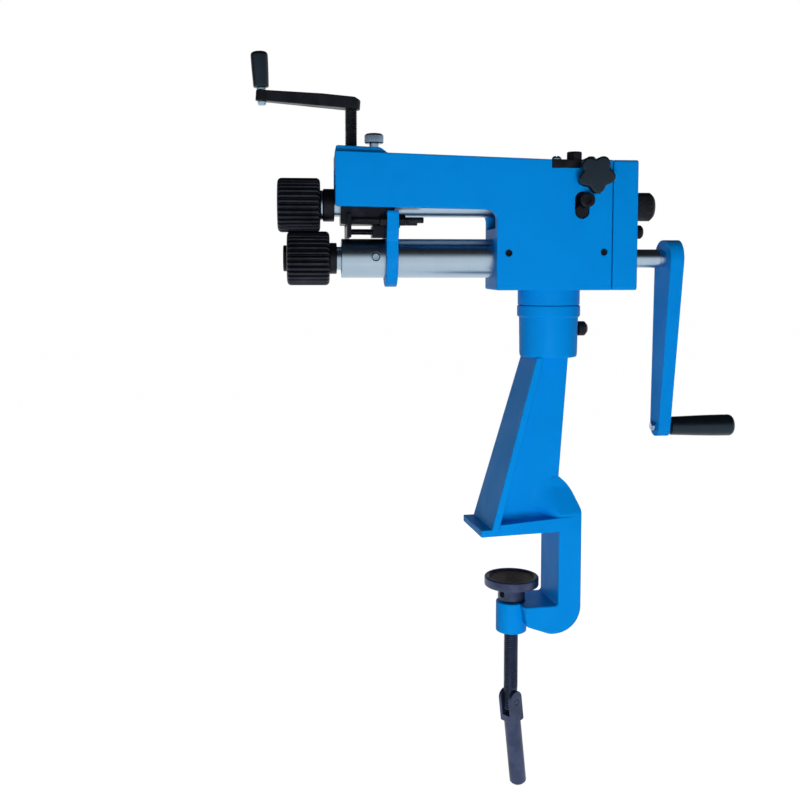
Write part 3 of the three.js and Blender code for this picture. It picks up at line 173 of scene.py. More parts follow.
def mirrored(right: Sequence[Point], segments: int) -> list[Pair]:
    """Rounded outline made of its right half and the mirror image of that."""
    return rounded([*right, *[(-x, y, radius) for x, y, radius in reversed(right)]], segments)


def fillet(here: Vector, back: Vector, ahead: Vector, radius: float, segments: int) -> list[Pair]:
    """Replaces one corner by an arc.

    Args:
        here: The corner.
        back: Unit vector to the point before it.
        ahead: Unit vector to the point after it.
        radius: Radius of the arc, or 0 for a sharp corner.
        segments: Segments of the arc.

    Returns:
        The points from the first side to the second.
    """
    half = math.acos(max(-1.0, min(1.0, back.dot(ahead)))) / 2
    if radius <= 0 or half > math.radians(88):
        return [(here.x, here.y)]
    reach = radius / math.tan(half)
    centre = here + (back + ahead).normalized() * (radius / math.sin(half))
    first = here + back * reach - centre
    last = here + ahead * reach - centre
    sweep = first.angle_signed(last)
    return [tuple(centre + Matrix.Rotation(-angle, 2) @ first) for angle in steps(0.0, sweep, segments)]


def eased(profile: Sequence[Pair], radius: float) -> list[Pair]:
    """Rounds the inner corners of an open turning profile, as a lathe tool leaves them.

    Args:
        profile: Points as (along, radius), from the axis and back to it.
        radius: Largest radius of a rounding.

    Returns:
        The profile with its corners rounded.
    """
    points: list[Pair] = [profile[0]]
    for before, here, after in zip(profile, profile[1:], profile[2:]):
        middle = Vector(here)
        back = Vector(before) - middle
        ahead = Vector(after) - middle
        if back.length < 1e-6 or ahead.length < 1e-6:
            continue
        half = math.acos(max(-1.0, min(1.0, back.normalized().dot(ahead.normalized())))) / 2
        room = 0.45 * min(back.length, ahead.length) * math.tan(half)
        points.extend(fillet(middle, back.normalized(), ahead.normalized(), min(radius, room), 3))
    points.append(profile[-1])
    return points


def hexagon(across: float, phase: float = 0.0) -> list[Pair]:
    """Outline of a hexagon.

    Args:
        across: Distance over the flats.
        phase: Turn of the first corner, in radians.

    Returns:
        Its six corners.
    """
    radius = across / math.sqrt(3)
    angles = [phase + i * math.pi / 3 for i in range(6)]
    return [(radius * math.cos(a), radius * math.sin(a)) for a in angles]


def arc(centre: Pair, radius: float, start: float, end: float, segments: int) -> list[Pair]:
    """Points of an arc from one angle to another."""
    angles = steps(start, end, segments)
    return [(centre[0] + radius * math.cos(a), centre[1] + radius * math.sin(a)) for a in angles]


def link(length: float, big: float, small: float) -> list[Pair]:
    """Outline of a crank arm: two round ends joined by tangents.

    Args:
        length: Distance between the centres, along +x.
        big: Radius round the first centre.
        small: Radius round the second centre.

    Returns:
        The points of the outline.
    """
    lean = math.acos((big - small) / length)
    return arc((0.0, 0.0), big, lean, 2 * math.pi - lean, 28) + arc((length, 0.0), small, -lean, lean, 28)


# Solids


class Solid:
    """A closed body in millimetres, kept as a Blender mesh until it becomes a piece."""

    def __init__(self, mesh: bpy.types.Mesh) -> None:
        """Keeps the mesh as the body."""
        self.mesh = mesh

    @classmethod
    def from_bmesh(cls, bm: bmesh.types.BMesh) -> "Solid":
        """Makes a body from a finished bmesh and frees it.

        Args:
            bm: Closed surface.

        Returns:
            The body, with all its faces turned outwards.
        """
        bmesh.ops.remove_doubles(bm, verts=bm.verts, dist=1e-5)
        bmesh.ops.recalc_face_normals(bm, faces=bm.faces)
        mesh = bpy.data.meshes.new("solid")
        bm.to_mesh(mesh)
        bm.free()
        return cls(mesh)

    def _as_object(self) -> bpy.types.Object:
        """Puts the body in the scene for a modifier to use."""
        body = bpy.data.objects.new("work", self.mesh)
        bpy.context.scene.collection.objects.link(body)
        return body

    def _combined(self, others: Iterable["Solid"], operation: str) -> "Solid":
        """Joins or cuts with other bodies.

        Args:
            others: The other bodies.
            operation: UNION, DIFFERENCE or INTERSECT.

        Returns:
            The new body.
        """
        body = self._as_object()
        helpers = [other._as_object() for other in others]
        for helper in helpers:
            step = body.modifiers.new("step", "BOOLEAN")
            step.operation = operation
            step.solver = "EXACT"
            step.object = helper
        return self._finished(body, *helpers)

    @staticmethod
    def _finished(body: bpy.types.Object, *helpers: bpy.types.Object) -> "Solid":
        """Applies the modifiers of a work object and removes it with its helpers."""
        view = bpy.context.evaluated_depsgraph_get()
        result = bpy.data.meshes.new_from_object(body.evaluated_get(view))
        for item in (body, *helpers):
            bpy.data.objects.remove(item)
        return Solid(result)

    def joined(self, *others: "Solid") -> "Solid":
        """Fuses other bodies with this one."""
        return self._combined(others, "UNION")

    def cut(self, *tools: "Solid") -> "Solid":
        """Takes other bodies out of this one."""
        return self._combined(tools, "DIFFERENCE")

    def common(self, other: "Solid") -> "Solid":
        """Keeps what this body shares with another."""
        return self._combined([other], "INTERSECT")

    def moved(self, place: Matrix) -> "Solid":
        """Moves the body by a matrix."""
        self.mesh.transform(place)
        return self

    def shifted(self, x: float, y: float, z: float) -> "Solid":
        """Moves the body by a distance."""
        return self.moved(Matrix.Translation((x, y, z)))

    def turned(self, degrees: float, axis: Axis) -> "Solid":
        """Turns the body about an axis through the origin."""
        return self.moved(turn(degrees, axis))

    def softened(self, width: float, degrees: float = 35.0, segments: int = 2) -> "Solid":
        """Rounds every edge sharper than an angle.

        Args:
            width: Width of the rounding.
            degrees: Smallest angle between two faces that counts as an edge.
            segments: Segments of the rounding.

        Returns:
            The rounded body.
        """
        body = self._as_object()
        bevel = body.modifiers.new("soft", "BEVEL")
        bevel.limit_method = "ANGLE"
        bevel.angle_limit = math.radians(degrees)
        bevel.width = width
        bevel.segments = segments
        bevel.use_clamp_overlap = True
        return self._finished(body)


def placed(axis: Axis, along: float, a: float, b: float) -> Point:
    """Point from its place along an axis and in the two other directions."""
    return {Axis.X: (along, a, b), Axis.Y: (a, along, b), Axis.Z: (a, b, along)}[axis]


def loft(rings: Sequence[Sequence[Point]], flat_ends: bool = False) -> bmesh.types.BMesh:
    """Joins rings of points by faces, each ring to the next.

    Args:
        rings: Points of each ring; a ring of one point is a pole.
        flat_ends: Whether the first and the last ring get a face.

    Returns:
        The surface.
    """
    bm = bmesh.new()
    made = [[bm.verts.new(point) for point in ring] for ring in rings]
    for low, high in zip(made, made[1:]):
        count = max(len(low), len(high))
        for k in range(count if count > 1 else 0):
            n = (k + 1) % count
            if len(low) == 1:
                bm.faces.new((low[0], high[k], high[n]))
            elif len(high) == 1:
                bm.faces.new((low[k], high[0], low[n]))
            else:
                bm.faces.new((low[k], high[k], high[n], low[n]))
    if flat_ends:
        bm.faces.new(made[0])
        bm.faces.new(made[-1])
    return bm


def spun(profile: Sequence[Pair], axis: Axis, centre: Pair = (0.0, 0.0), sides: int = 64) -> Solid:
    """Turns a profile round an axis.

    Args:
        profile: Points as (along, radius), from the axis and back to it.
        axis: Direction of the axis.
        centre: Where the axis stands in the two other directions.
        sides: Facets round the axis.

    Returns:
        The turned body.
    """
    rings = []
    for along, r in profile:
        turns = steps(0.0, 2 * math.pi, sides)[:-1] if r > 1e-6 else [0.0]
        rings.append([placed(axis, along, centre[0] + r * math.cos(a), centre[1] + r * math.sin(a)) for a in turns])
    return Solid.from_bmesh(loft(rings))


def rod(axis: Axis, start: float, end: float, radius: float, centre: Pair = (0.0, 0.0), sides: int = 48) -> Solid:
    """Plain round bar along an axis, mostly used as a drill."""
    return spun([(start, 0.0), (start, radius), (end, radius), (end, 0.0)], axis, centre, sides)


def turned_bar(
    axis: Axis, profile: Sequence[Pair], centre: Pair = (0.0, 0.0), ease: float = 0.5, sides: int = 64
) -> Solid:
    """Turned body with eased corners.

    Args:
        axis: Direction of the axis.
        profile: Outer points as (along, radius), without the two points on the axis.
        centre: Where the axis stands in the two other directions.
        ease: Radius of the eased corners.
        sides: Facets round the axis.

    Returns:
        The body.
    """
    closed = [(profile[0][0], 0.0), *profile, (profile[-1][0], 0.0)]
    return spun(eased(closed, ease), axis, centre, sides)


def prism(outline: Sequence[Pair], thickness: float, axis: Axis, middle: float = 0.0, edge: float = 0.0) -> Solid:
    """Gives an outline a thickness and rounds its edges.

    Args:
        outline: Corners of the outline.
        thickness: Thickness of the plate.
        axis: Direction of the thickness.
        middle: Where the middle of the thickness lies.
        edge: Radius of the rounded edges.

    Returns:
        The plate.
    """
    levels = (middle - thickness / 2, middle + thickness / 2)
    bm = loft([[placed(axis, level, u, v) for u, v in outline] for level in levels], flat_ends=True)
    bmesh.ops.recalc_face_normals(bm, faces=bm.faces)
    if edge > 0:
        sharp = [e for e in bm.edges if e.calc_face_angle(0.0) > math.radians(32)]
        bmesh.ops.bevel(bm, geom=sharp, offset=edge, segments=3, profile=0.5, affect="EDGES", clamp_overlap=True)
    return Solid.from_bmesh(bm)


def block(low: Sequence[float], high: Sequence[float], edge: float = 0.0) -> Solid:
    """Rectangular block between two corners, with rounded edges."""
    outline = [(low[0], low[2]), (high[0], low[2]), (high[0], high[2]), (low[0], high[2])]
    return prism(outline, high[1] - low[1], Axis.Y, (low[1] + high[1]) / 2, edge)


def star_bar(polar: Sequence[Pair], stations: Sequence[Point]) -> Solid:
    """Body along X whose section is given by polar points.

    Args:
        polar: Points of the section as (angle, radius).
        stations: Each (x, inset, largest radius); a section is drawn in by the inset and then limited.

    Returns:
        The body.
    """
    rings: list[list[Point]] = [[(stations[0][0], 0.0, 0.0)]]
    for x, inset, limit in stations:
        section = [(angle, min(radius - inset, limit)) for angle, radius in polar]
        rings.append([(x, r * math.cos(angle), r * math.sin(angle)) for angle, r in section])
    return Solid.from_bmesh(loft([*rings, [(stations[-1][0], 0.0, 0.0)]]))


def thread(start: float, end: float, radius: float, pitch: float, sides: int = 40) -> Solid:
    """Round bar along Z with a helical V thread.

    Args:
        start: Lower end.
        end: Upper end.
        radius: Outer radius.
        pitch: Rise of the thread in one turn.
        sides: Facets round the axis.

    Returns:
        The threaded bar, with a chamfer at both ends.
    """
    depth = 0.56 * pitch
    rows = max(4, int((end - start) / pitch * 6))
    rings: list[list[Point]] = [[(0.0, 0.0, start)]]
    for z in steps(start, end, rows):
        limit = radius - depth + min(depth, z - start, end - z)
        ring = []
        for k in range(sides):
            phase = (z / pitch - k / sides) % 1.0
            r = min(radius - depth * abs(2 * phase - 1) ** 1.15, limit)
            angle = 2 * math.pi * k / sides
            ring.append((r * math.cos(angle), r * math.sin(angle), z))
        rings.append(ring)
    return Solid.from_bmesh(loft([*rings, [(0.0, 0.0, end)]]))


def knurled(count: int, radius: float, depth: float, stations: Sequence[Pair]) -> Solid:
    """Body along X with a straight knurl.

    Args:
        count: Number of ridges.
        radius: Outer radius.
        depth: Depth of the grooves.
        stations: Each (x, inset) at which the section is drawn in by the inset.

    Returns:
        The body.
    """
    shares = [(0.0, 0.0), (0.28, 0.1), (0.5, 1.0), (0.72, 0.1)]
    polar = [(2 * math.pi * (i + share) / count, radius - depth * sink) for i in range(count) for share, sink in shares]
    return star_bar(polar, [(x, inset, radius) for x, inset in stations])


def lobes(count: int, radius: float, waist: float, phase: float) -> list[Pair]:
    """Section of a star knob.

    Args:
        count: Number of lobes.
        radius: Radius over the lobes.
        waist: Radius between them.
        phase: Turn of the first lobe, in radians.

    Returns:
        Polar points of the section.
    """
    polar = []
    for angle in steps(0.0, 2 * math.pi, count * 26)[:-1]:
        wave = 0.5 + 0.5 * math.cos(count * (angle - phase))
        polar.append((angle, waist + (radius - waist) * wave**0.75))
    return polar


def hex_head(across: float, height: float, phase: float = 0.0) -> Solid:
    """Bolt head along Z from 0 up, with the top corners turned off.

    Args:
        across: Distance over the flats.
        height: Height of the head.
        phase: Turn about the axis, in radians.

    Returns:
        The head.
    """
    body = prism(hexagon(across, phase), height, Axis.Z, height / 2)
    corner = across / math.sqrt(3)
    dome = [(0.0, 0.0), (0.0, corner + 1), (height * 0.82, corner + 0.1), (height, across / 2 * 0.93), (height, 0.0)]
    return body.common(spun(dome, Axis.Z))


def grub_screw(face: float, back: float, spot: Pair, socket: float) -> Solid:
    """Set screw along Y with a hexagon socket.

    Args:
        face: Its end with the socket.
        back: Its other end.
        spot: x and z of its axis.
        socket: Twice the depth of the socket.

    Returns:
        The screw.
    """
    screw = turned_bar(Axis.Y, [(along, 3.2) for along in sorted((face, back))], spot, 0.4, 40)
    return screw.cut(prism(hexagon(3.2), socket, Axis.Y, face).shifted(spot[0], 0.0, spot[1]))


# Finishes


class NodeTree:
    """Small helper that adds shader nodes and links them."""

    def __init__(self, tree: bpy.types.NodeTree) -> None:
        """Keeps the tree that nodes go into."""
        self.tree = tree

    @classmethod
    def emptied(cls, owner: bpy.types.Material | bpy.types.World) -> "NodeTree":
        """Empties the node tree of a material or of the world."""
        owner.use_nodes = True
        owner.node_tree.nodes.clear()
        return cls(owner.node_tree)

    def feed(self, target: Socket, value: object) -> None:
        """Links a socket to an input, or sets the input's own value."""
        if isinstance(value, Socket):
            self.tree.links.new(value, target)
        else:
            target.default_value = (*value, 1.0) if target.type == "RGBA" else value

    def add(self, kind: str, *first: object, **values: object) -> bpy.types.Node:
        """Adds a node.

        Args:
            kind: Blender's name of the node type, without ShaderNode.
            *first: Sockets or values of its first inputs.
            **values: Properties, or sockets or values of inputs by name with underscores for blanks.

        Returns:
            The node.
        """
        node = self.tree.nodes.new(f"ShaderNode{kind}")
        for name, value in values.items():
            if hasattr(node, name):
                setattr(node, name, value)
            else:
                self.feed(node.inputs[name.replace("_", " ")], value)
        for target, value in zip(node.inputs, first):
            self.feed(target, value)
        return node

    def ramp(self, source: Socket, low: float, high: float, out_low: float = 0.0, out_high: float = 1.0) -> Socket:
        """Maps a value from one range to another and clamps it."""
        node = self.add("MapRange", Value=source, From_Min=low, From_Max=high, To_Min=out_low, To_Max=out_high)
        return node.outputs["Result"]

    def maths(self, operation: str, first: Socket, second: Socket | float) -> Socket:
        """Combines two values."""
        return self.add("Math", first, second, operation=operation).outputs[0]

    def blend(self, share: Socket, first: Colour | Socket, second: Colour | Socket) -> Socket:
        """Mixes two colours by a share."""
        node = self.add("Mix", share, data_type="RGBA")
        self.feed(node.inputs[6], first)
        self.feed(node.inputs[7], second)
        return node.outputs[2]

    def noise(self, scale: Socket | float, detail: float, roughness: float, **values: object) -> Socket:
        """Noise that sticks to the object."""
        place = {"Vector": self.add("TexCoord").outputs["Object"], **values}
        return self.add("TexNoise", Scale=scale, Detail=detail, Roughness=roughness, **place).outputs["Fac"]


class Group(NodeTree):
    """A shader node group under construction."""

    def __init__(self, name: str, inputs: dict[str, float | Point], outputs: dict[str, float | Point]) -> None:
        """Starts the group.

        Args:
            name: Name of the group.
            inputs: Default of each input; a point makes a vector socket.
            outputs: Default of each output.
        """
        super().__init__(bpy.data.node_groups.new(name, "ShaderNodeTree"))
        for way, sockets in (("INPUT", inputs), ("OUTPUT", outputs)):
            for label, value in sockets.items():
                kind = "NodeSocketVector" if isinstance(value, tuple) else "NodeSocketFloat"
                self.tree.interface.new_socket(name=label, in_out=way, socket_type=kind).default_value = value
        self.ins = self.tree.nodes.new("NodeGroupInput").outputs
        self.outs = self.tree.nodes.new("NodeGroupOutput").inputs


class Effects:
    """The shader node groups that several finishes share."""

    def __init__(self) -> None:
        """Builds every group once."""
        self.edge_wear = self._edge_wear()
        self.cloud = self._cloud()
        self.lathe_marks = self._lathe_marks()
        self.casting = self._casting()

    def _edge_wear(self) -> bpy.types.NodeTree:
        """Rounded normal at edges, and a mask of the edges broken up by noise."""
        inputs = {"Radius": 0.0008, "Break Up": 300.0, "Amount": 0.5}
        net = Group("edge_wear", inputs, {"Mask": 0.0, "Normal": (0.0, 0.0, 0.0)})
        soft = net.add("Bevel", samples=6, Radius=net.ins["Radius"]).outputs[0]
        flat = net.add("NewGeometry").outputs["Normal"]
        dot = net.add("VectorMath", soft, flat, operation="DOT_PRODUCT").outputs["Value"]
        broken = net.ramp(net.noise(net.ins["Break Up"], 4.0, 0.65), 0.45, 0.62)
        worn = net.maths("MULTIPLY", net.ramp(dot, 0.995, 0.9), broken)
        net.feed(net.outs["Mask"], net.maths("MULTIPLY", worn, net.ins["Amount"]))
        net.feed(net.outs["Normal"], soft)
        return net.tree

    def _cloud(self) -> bpy.types.NodeTree:
        """Slow uneven tone, such as handling marks, oil film or uneven paint."""
        net = Group("cloud", {"Scale": 20.0, "Contrast": 0.5}, {"Tone": 0.0})
        level = net.ramp(net.noise(net.ins["Scale"], 5.0, 0.55, Distortion=0.4), 0.3, 0.7)
        net.feed(net.outs["Tone"], net.maths("MULTIPLY", level, net.ins["Contrast"]))
        return net.tree

    def _lathe_marks(self) -> bpy.types.NodeTree:
        """Fine grooves of turning or grinding: noise drawn out round the part."""
        net = Group("lathe_marks", {"Stretch": (4000.0, 6.0, 6.0), "Depth": 1.0}, {"Height": 0.0})
        spot = net.add("TexCoord").outputs["Object"]
        drawn = net.add("VectorMath", spot, net.ins["Stretch"], operation="MULTIPLY").outputs[0]
        noise = net.noise(1.0, 3.0, 0.7, Vector=drawn)
        net.feed(net.outs["Height"], net.maths("MULTIPLY", noise, net.ins["Depth"]))
        return net.tree

    def _casting(self) -> bpy.types.NodeTree:
        """Sand-cast skin under paint: low dimples with finer orange peel on them."""
        net = Group("casting", {"Dimples": 240.0, "Peel": 900.0, "Depth": 1.0}, {"Height": 0.0})
        small = net.maths("MULTIPLY", net.noise(net.ins["Peel"], 2.0, 0.6), 0.3)
        both = net.maths("ADD", net.noise(net.ins["Dimples"], 2.0, 0.5), small)
        net.feed(net.outs["Height"], net.maths("MULTIPLY", both, net.ins["Depth"]))
        return net.tree


@dataclass(frozen=True)
class Finish:
    """A surface with an uneven tone, worn edges and a relief; each kind sets its own measures."""

    name: str
    slot: str
    colour: Colour
    deep: Colour
    worn: Colour = (0.0, 0.0, 0.0)
    roughness: float = 0.4
    wear: float = 0.0
    metallic: float = 0.0
    depth: float = 0.0
    marks: Point = (900.0, 900.0, 900.0)
    edge: ClassVar[Pair] = (0.0005, 700.0)
    tone_scale: ClassVar[float] = 55.0
    spread: ClassVar[Pair] = (0.08, -0.08)
    skin: ClassVar[Pair | None] = None
    streaks: ClassVar[bool] = False
    extras: ClassVar[dict[str, object]] = {}

    def build(self, effects: Effects) -> bpy.types.Material:
        """Makes the material.

        Args:
            effects: The shared groups.

        Returns:
            The material.
        """
        material = bpy.data.materials.new(self.name)
        net = NodeTree.emptied(material)
        radius, break_up = self.edge
        edges = net.add("Group", node_tree=effects.edge_wear, Radius=radius, Break_Up=break_up, Amount=self.wear)
        tone = net.add("Group", node_tree=effects.cloud, Scale=self.tone_scale, Contrast=1.0).outputs[0]
        if self.skin:
            relief = net.add("Group", *self.skin, 1.0, node_tree=effects.casting).outputs[0]
        else:
            relief = net.add("Group", self.marks, 1.0, node_tree=effects.lathe_marks).outputs[0]
        if self.streaks:
            streak = net.maths("MULTIPLY", net.ramp(relief, 0.3, 0.7), 0.5)
            tone = net.maths("ADD", streak, net.maths("MULTIPLY", tone, 0.5))
        colour = net.blend(edges.outputs["Mask"], net.blend(tone, self.colour, self.deep), self.worn)
        low, high = (self.roughness + change for change in self.spread)
        bump = net.add("Bump", Distance=self.depth, Strength=1.0, Height=relief, Normal=edges.outputs["Normal"])
        shader = net.add(
            "BsdfPrincipled", Base_Color=colour, Metallic=self.metallic, Roughness=net.ramp(tone, 0.0, 1.0, low, high),
            Normal=bump.outputs[0], **self.extras,
        )
        net.add("OutputMaterial", shader.outputs[0])
        return material


@dataclass(frozen=True)
class Enamel(Finish):
    """Gloss paint over a casting."""

    roughness: float = 0.45
    wear: float = 0.35
    depth: float = 0.00014
    edge: ClassVar[Pair] = (0.0009, 420.0)
    tone_scale: ClassVar[float] = 26.0
    spread: ClassVar[Pair] = (-0.04, 0.07)
    skin: ClassVar[Pair | None] = (330.0, 1300.0)
    extras: ClassVar[dict[str, object]] = {"Specular_IOR_Level": 0.06, "Coat_Weight": 0.02, "Coat_Roughness": 0.16}


@dataclass(frozen=True)
class DarkSteel(Finish):
    """Black oxide or blued steel with brighter edges."""

    roughness: float = 0.42
    wear: float = 0.6
    metallic: float = 0.85
    depth: float = 0.00006


@dataclass(frozen=True)
class BrightSteel(Finish):
    """Ground, turned or plated metal."""

    roughness: float = 0.28
    metallic: float = 1.0
    depth: float = 0.0000015
    marks: Point = (2600.0, 5.0, 5.0)
    edge: ClassVar[Pair] = (0.0004, 600.0)
    tone_scale: ClassVar[float] = 38.0
    spread: ClassVar[Pair] = (-0.02, 0.04)
    streaks: ClassVar[bool] = True


@dataclass(frozen=True)
class Moulding(Finish):
    """Moulded plastic with a fine satin skin and a painted blue tint in its reflections."""

    roughness: float = 0.3
    wear: float = 0.4
    depth: float = 0.000004
    edge: ClassVar[Pair] = (0.0006, 500.0)
    tone_scale: ClassVar[float] = 60.0
    spread: ClassVar[Pair] = (-0.06, 0.08)
    skin: ClassVar[Pair | None] = (1100.0, 3000.0)
    # Specular Tint paints a blue reflection onto the black plastic, standing in for blue surroundings that the white
    # studio does not have.
    extras: ClassVar[dict[str, object]] = {"Specular_Tint": (0.5, 0.78, 1.0)}


class Finishes:
    """Every finish of the machine, built once."""

    def __init__(self) -> None:
        """Builds the materials."""
        effects = Effects()

        def made(finish: Finish) -> Dressing:
            """Builds one finish and keeps it with its slot."""
            return Dressing(finish.build(effects), finish.slot)

        chip: Colour = (0.01, 0.3, 0.78)
        self.paint = made(Enamel("blue_enamel", "blue_paint", (0.0, 0.235, 0.69), (0.0, 0.215, 0.65), chip))
        self.crank_paint = made(Enamel("crank_enamel", "dark_blue_paint", (0.0, 0.23, 0.68), (0.0, 0.21, 0.64), chip))
        self.black_oxide = made(DarkSteel(
            "black_oxide_steel", "black_oxide", (0.008, 0.009, 0.012), (0.02, 0.023, 0.033), (0.16, 0.17, 0.2)
        ))
        self.roll_steel = made(DarkSteel(
            "blackened_roll_steel", "black_oxide", (0.012, 0.013, 0.02), (0.03, 0.034, 0.05), (0.14, 0.15, 0.19),
            roughness=0.36, marks=(900.0, 60.0, 60.0),
        ))
        self.blued = made(DarkSteel(
            "blued_steel", "blued_steel", (0.04, 0.055, 0.11), (0.07, 0.09, 0.17), (0.22, 0.27, 0.36),
            roughness=0.4, wear=0.5, marks=(120.0, 120.0, 2400.0),
        ))
        self.pad_face = made(DarkSteel(
            "pad_face_steel", "blued_steel", (0.03, 0.014, 0.006), (0.06, 0.03, 0.014), (0.16, 0.11, 0.07),
            roughness=0.5, metallic=0.6, wear=0.3,
        ))
        # The blue tint of both steel tones is a painted reflection, standing in for blue surroundings that the white
        # studio does not have.
        bright, deep_painted_blue = (0.43, 0.55, 0.67), (0.39, 0.5, 0.6)
        self.ground = made(BrightSteel("ground_shaft_steel", "ground_steel", bright, deep_painted_blue))
        upright = BrightSteel("turned_screw_steel", "ground_steel", bright, deep_painted_blue, marks=(5.0, 5.0, 2600.0))
        self.ground_upright = made(upright)
        self.zinc = made(BrightSteel("zinc_plate", "zinc_plate", (0.36, 0.5, 0.64), (0.27, 0.38, 0.5), roughness=0.26))
        bronze = BrightSteel("sintered_bronze", "bronze", (0.6, 0.4, 0.16), (0.42, 0.27, 0.1), roughness=0.35)
        self.bronze = made(bronze)
        black: Colour = (0.004, 0.0055, 0.009)
        self.plastic = made(Moulding("black_moulding", "black_plastic", black, black, (0.02, 0.024, 0.034)))


@dataclass(frozen=True)
class Dressing:
    """A material and the record's slot that it stands for."""

    material: bpy.types.Material
    slot: str


# Pieces


@dataclass
class Workshop:
    """Places finished solids in the scene and notes them in the log."""

    layout: Layout
    finishes: Finishes
    nodes: dict[str, bpy.types.Object]
    made: int = 0

    def piece(
        self, name: str, solid: Solid, place: Matrix, body: str, dressing: Dressing,
        stands_for: Sequence[str] = (), sharp: float = 34.0,
    ) -> None:
        """Turns a solid into a piece of the visual model.

        Args:
            name: Name of the piece.
            solid: Its body in millimetres.
            place: Frame of its sub-assembly in the row frame.
            body: Moving body that it rides on.
            dressing: Its material and slot.
            stands_for: CAD nodes that it replaces.
            sharp: Angle over which an edge stays crisp.
        """
        mesh = solid.mesh
        mesh.transform(Matrix.Scale(MM, 4) @ place)
        mesh.name = name
        mesh.materials.clear()
        mesh.materials.append(dressing.material)
        mesh.shade_smooth()
        mesh.set_sharp_from_angle(angle=math.radians(sharp))
        item = bpy.data.objects.new(name, mesh)
        bpy.context.scene.collection.objects.link(item)
        weigh = item.modifiers.new("even_normals", "WEIGHTED_NORMAL")
        weigh.keep_sharp = True
        weigh.weight = 50
        view = bpy.context.evaluated_depsgraph_get()
        item.data = bpy.data.meshes.new_from_object(item.evaluated_get(view))
        item.data.name = name
        item.modifiers.clear()
        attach(item, body)
        if stands_for:
            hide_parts(*stands_for)
        self.made += 1
        LOG.info("piece %s: %d faces, rides on %s", name, len(item.data.polygons), body)

    def dress(self, dressing: Dressing, *names: str) -> None:
        """Gives CAD nodes that stay in view a finished material."""
        for name in names:
            node = self.nodes[name]
            node.data.materials.clear()
            node.data.materials.append(dressing.material)
            LOG.info("node %s dressed", name)


@dataclass
class Assembly:
    """What every sub-assembly has: the workshop that places its pieces."""

    shop: Workshop

    @property
    def layout(self) -> Layout:
        """Places of all sub-assemblies."""
        return self.shop.layout

    @property
    def upper_z(self) -> float:
        """Height of the upper shaft over the lower one."""
        return self.shop.layout.shaft_spacing


# Base


